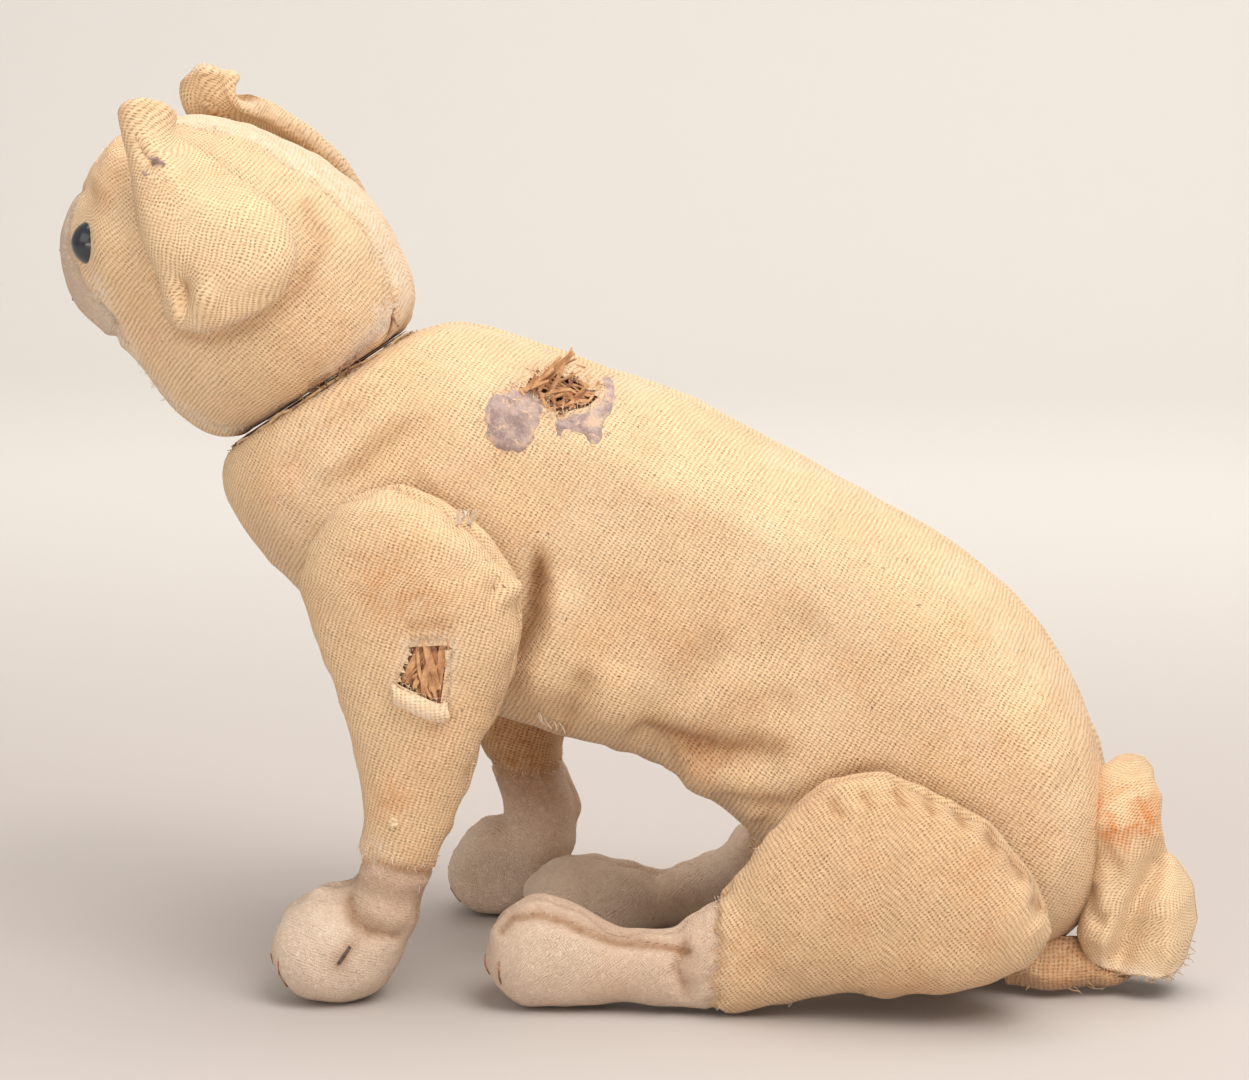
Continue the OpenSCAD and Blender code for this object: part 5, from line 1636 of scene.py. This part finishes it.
ring = neck_ring(21.5, 20.0, -0.6)
frayed_part = ring[(ring[:, 0] > -61) & (ring[:, 0] < -49) & (ring[:, 1] < 0)]
strands("neck_brown_threads", fuzz(body_skin, frayed_part, 46, 2.0, 222, spread=0.5, outward=0.5,
    curly=1.2), 0.17, brown_thread, "body", sides=5)
strands("neck_roll", [neck_ring(20.3, 18.9, -0.80)], 0.80, tan_thread, "body", sides=12)

# The lining is a flat ring that closes the joint, with an uneven outer edge
lining_edge = neck_ring(20.6, 19.3, 0.30)
lining_edge = lining_edge + 0.5 * ripple(lining_edge, 5, 224)[:, None] * np.array([0.6, 0.6, 0.4])
lining_grid = np.stack([neck_ring(20.6 * f, 19.3 * f, 0.30) for f in (0.6, 0.75, 0.9)] + [lining_edge])
points, faces, _ = layered(lining_grid, 0.25, np.array([-0.55, 0, 0.83]))
mesh_object("neck_lining", points, faces, brown_thread, "body", ())

binding = neck_ring(21.5, 20.0, -0.30)
binding += 0.3 * np.column_stack([ripple(binding, 3, 225 + k) for k in range(3)])
strands("neck_binding", [binding], 0.36, tan_thread, "body", sides=9)
strands("neck_binding_fluff", fuzz(body_skin, neck_ring(21.5, 20.0, -0.4), 420, 0.7, 226, spread=0.6,
    outward=0.5), 0.07, tan_thread, "body", sides=4)

strip_net = [[(76, -12, 11.5), (84, -12, 11), (91, -10, 10), (97, -6, 8.5), (100, -4, 6.4)],
             [(76, -17, 8.0), (84, -17, 7.4), (92, -16, 6.8), (98.5, -13, 5.8), (102, -8, 4.8)],
             [(77, -18.5, 5.0), (84, -19, 4.6), (92, -18, 3.8), (99, -15, 3.2), (103, -9, 3.2)],
             [(78, -15, 1.4), (84, -15, 1.2), (92, -14, 0.9), (98, -11, 1.0), (101, -6, 1.6)]]
strip_grid = patch_grid(strip_net, 24, 80)
strip_grid += 0.8 * ripple(strip_grid, 6, 223)[..., None] * np.array([0.3, 1, 0.5])
points, faces, _ = layered(strip_grid, 0.7, np.array([0, -1.0, 0]))
points[:, 2] = np.maximum(points[:, 2], 0.35)
mesh_object("rump_strip", points, faces, woven_cover, "body", (),
            plain_fields(points, 0.3, 0.5, 0.75))
strip_fray = [strip_grid[r.integers(24), r.integers(80)] + curl((0, -0.3, 0.2),
        (r.normal(0, 1), r.normal(-0.6, 0.5), r.normal(0, 0.3)), (0, 0, 1), r.uniform(1.5, 4),
        r.normal(0, 0.8), 0.3, 7) for _ in range(70)]
for path in strip_fray:
    path[:, 2] = np.maximum(path[:, 2], 0.25)
strands("rump_strip_fray", strip_fray, 0.09, tan_thread, "body", sides=4)


# ---- CAD parts that stay --------------------------------------------------------------------------

for node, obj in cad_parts.items():
    if obj.hide_render:
        continue
    obj.data.materials.clear()
    chosen = leather_card if "disc" in node else eye_glass if node.endswith("_eye") else steel
    obj.data.materials.append(chosen)


# ---- Stage --------------------------------------------------------------------------------------

def stage_objects():
    mesh = bpy.data.meshes.new("floor")
    profile = [(-3.0, 0.0)] + [(0.9 + 0.5 * math.sin(math.radians(a)),
            0.5 - 0.5 * math.cos(math.radians(a))) for a in range(0, 91, 6)] + [(1.4, 4.0)]
    points = [(x, y, z) for y, z in profile for x in (-4.0, 4.0)]
    faces = [(2 * i, 2 * i + 1, 2 * i + 3, 2 * i + 2) for i in range(len(profile) - 1)]
    mesh.from_pydata(points, [], faces)
    mesh.shade_smooth()
    s = Shader("floor")
    rise = s.node("ShaderNodeSeparateXYZ")
    s.link(s.node("ShaderNodeTexCoord").outputs["Object"], rise.inputs[0])
    tone = s.mix(s.steps(rise.outputs[1], 0.10, 0.70), (0.50, 0.455, 0.425), (0.735, 0.70, 0.655))
    mesh.materials.append(s.finish(tone, 0.7))
    floor = bpy.data.objects.new("floor", mesh)
    bpy.context.scene.collection.objects.link(floor)
    floor.location = (0, 0, cad_box[0].z - 0.0002)
    return floor


def light(name, place, target, size, power, colour):
    data = bpy.data.lights.new(name, "AREA")
    data.shape, data.size, data.size_y = "RECTANGLE", size[0], size[1]
    data.energy, data.color = power, colour
    lamp = bpy.data.objects.new(name, data)
    bpy.context.scene.collection.objects.link(lamp)
    lamp.location = place
    lamp.rotation_euler = (Vector(target) - Vector(place)).to_track_quat("-Z", "Y").to_euler()


def camera():
    data = bpy.data.cameras.new("camera")
    cam = bpy.data.objects.new("camera", data)
    bpy.context.scene.collection.objects.link(cam)
    azimuth, elevation, distance = math.radians(8), math.radians(9.5), 0.84
    level = math.cos(elevation)
    back = Vector((math.sin(azimuth) * level, -math.cos(azimuth) * level, math.sin(elevation)))
    middle = Vector((0, 0, 0.086))
    cam.location = middle + distance * back
    cam.rotation_euler = (-back).to_track_quat("-Z", "Y").to_euler()
    data.sensor_width, data.lens = 36, 121.06
    data.clip_start, data.clip_end = 0.01, 20
    bpy.context.scene.camera = cam


stage_objects()
light("key", (0.62, -0.62, 1.25), (0, 0, 0.08), (0.9, 0.9), 15, (1.0, 0.97, 0.94))
light("fill", (-0.9, -1.0, 0.8), (0, 0, 0.08), (1.2, 1.0), 4.5, (1.0, 0.97, 0.94))
light("low", (0.0, -1.2, 0.10), (0, 0, 0.07), (1.4, 0.2), 4.4, (1.0, 0.96, 0.92))
light("top", (0.1, 0.25, 1.5), (0, 0, 0.1), (1.4, 1.2), 16, (1.0, 0.98, 0.96))
world = bpy.data.worlds.new("world")
world.use_nodes = True
world.node_tree.nodes["Background"].inputs[0].default_value = (1.0, 0.97, 0.94, 1.0)
world.node_tree.nodes["Background"].inputs[1].default_value = 0.40
bpy.context.scene.world = world
bpy.context.scene.view_settings.view_transform = "Standard"
camera()
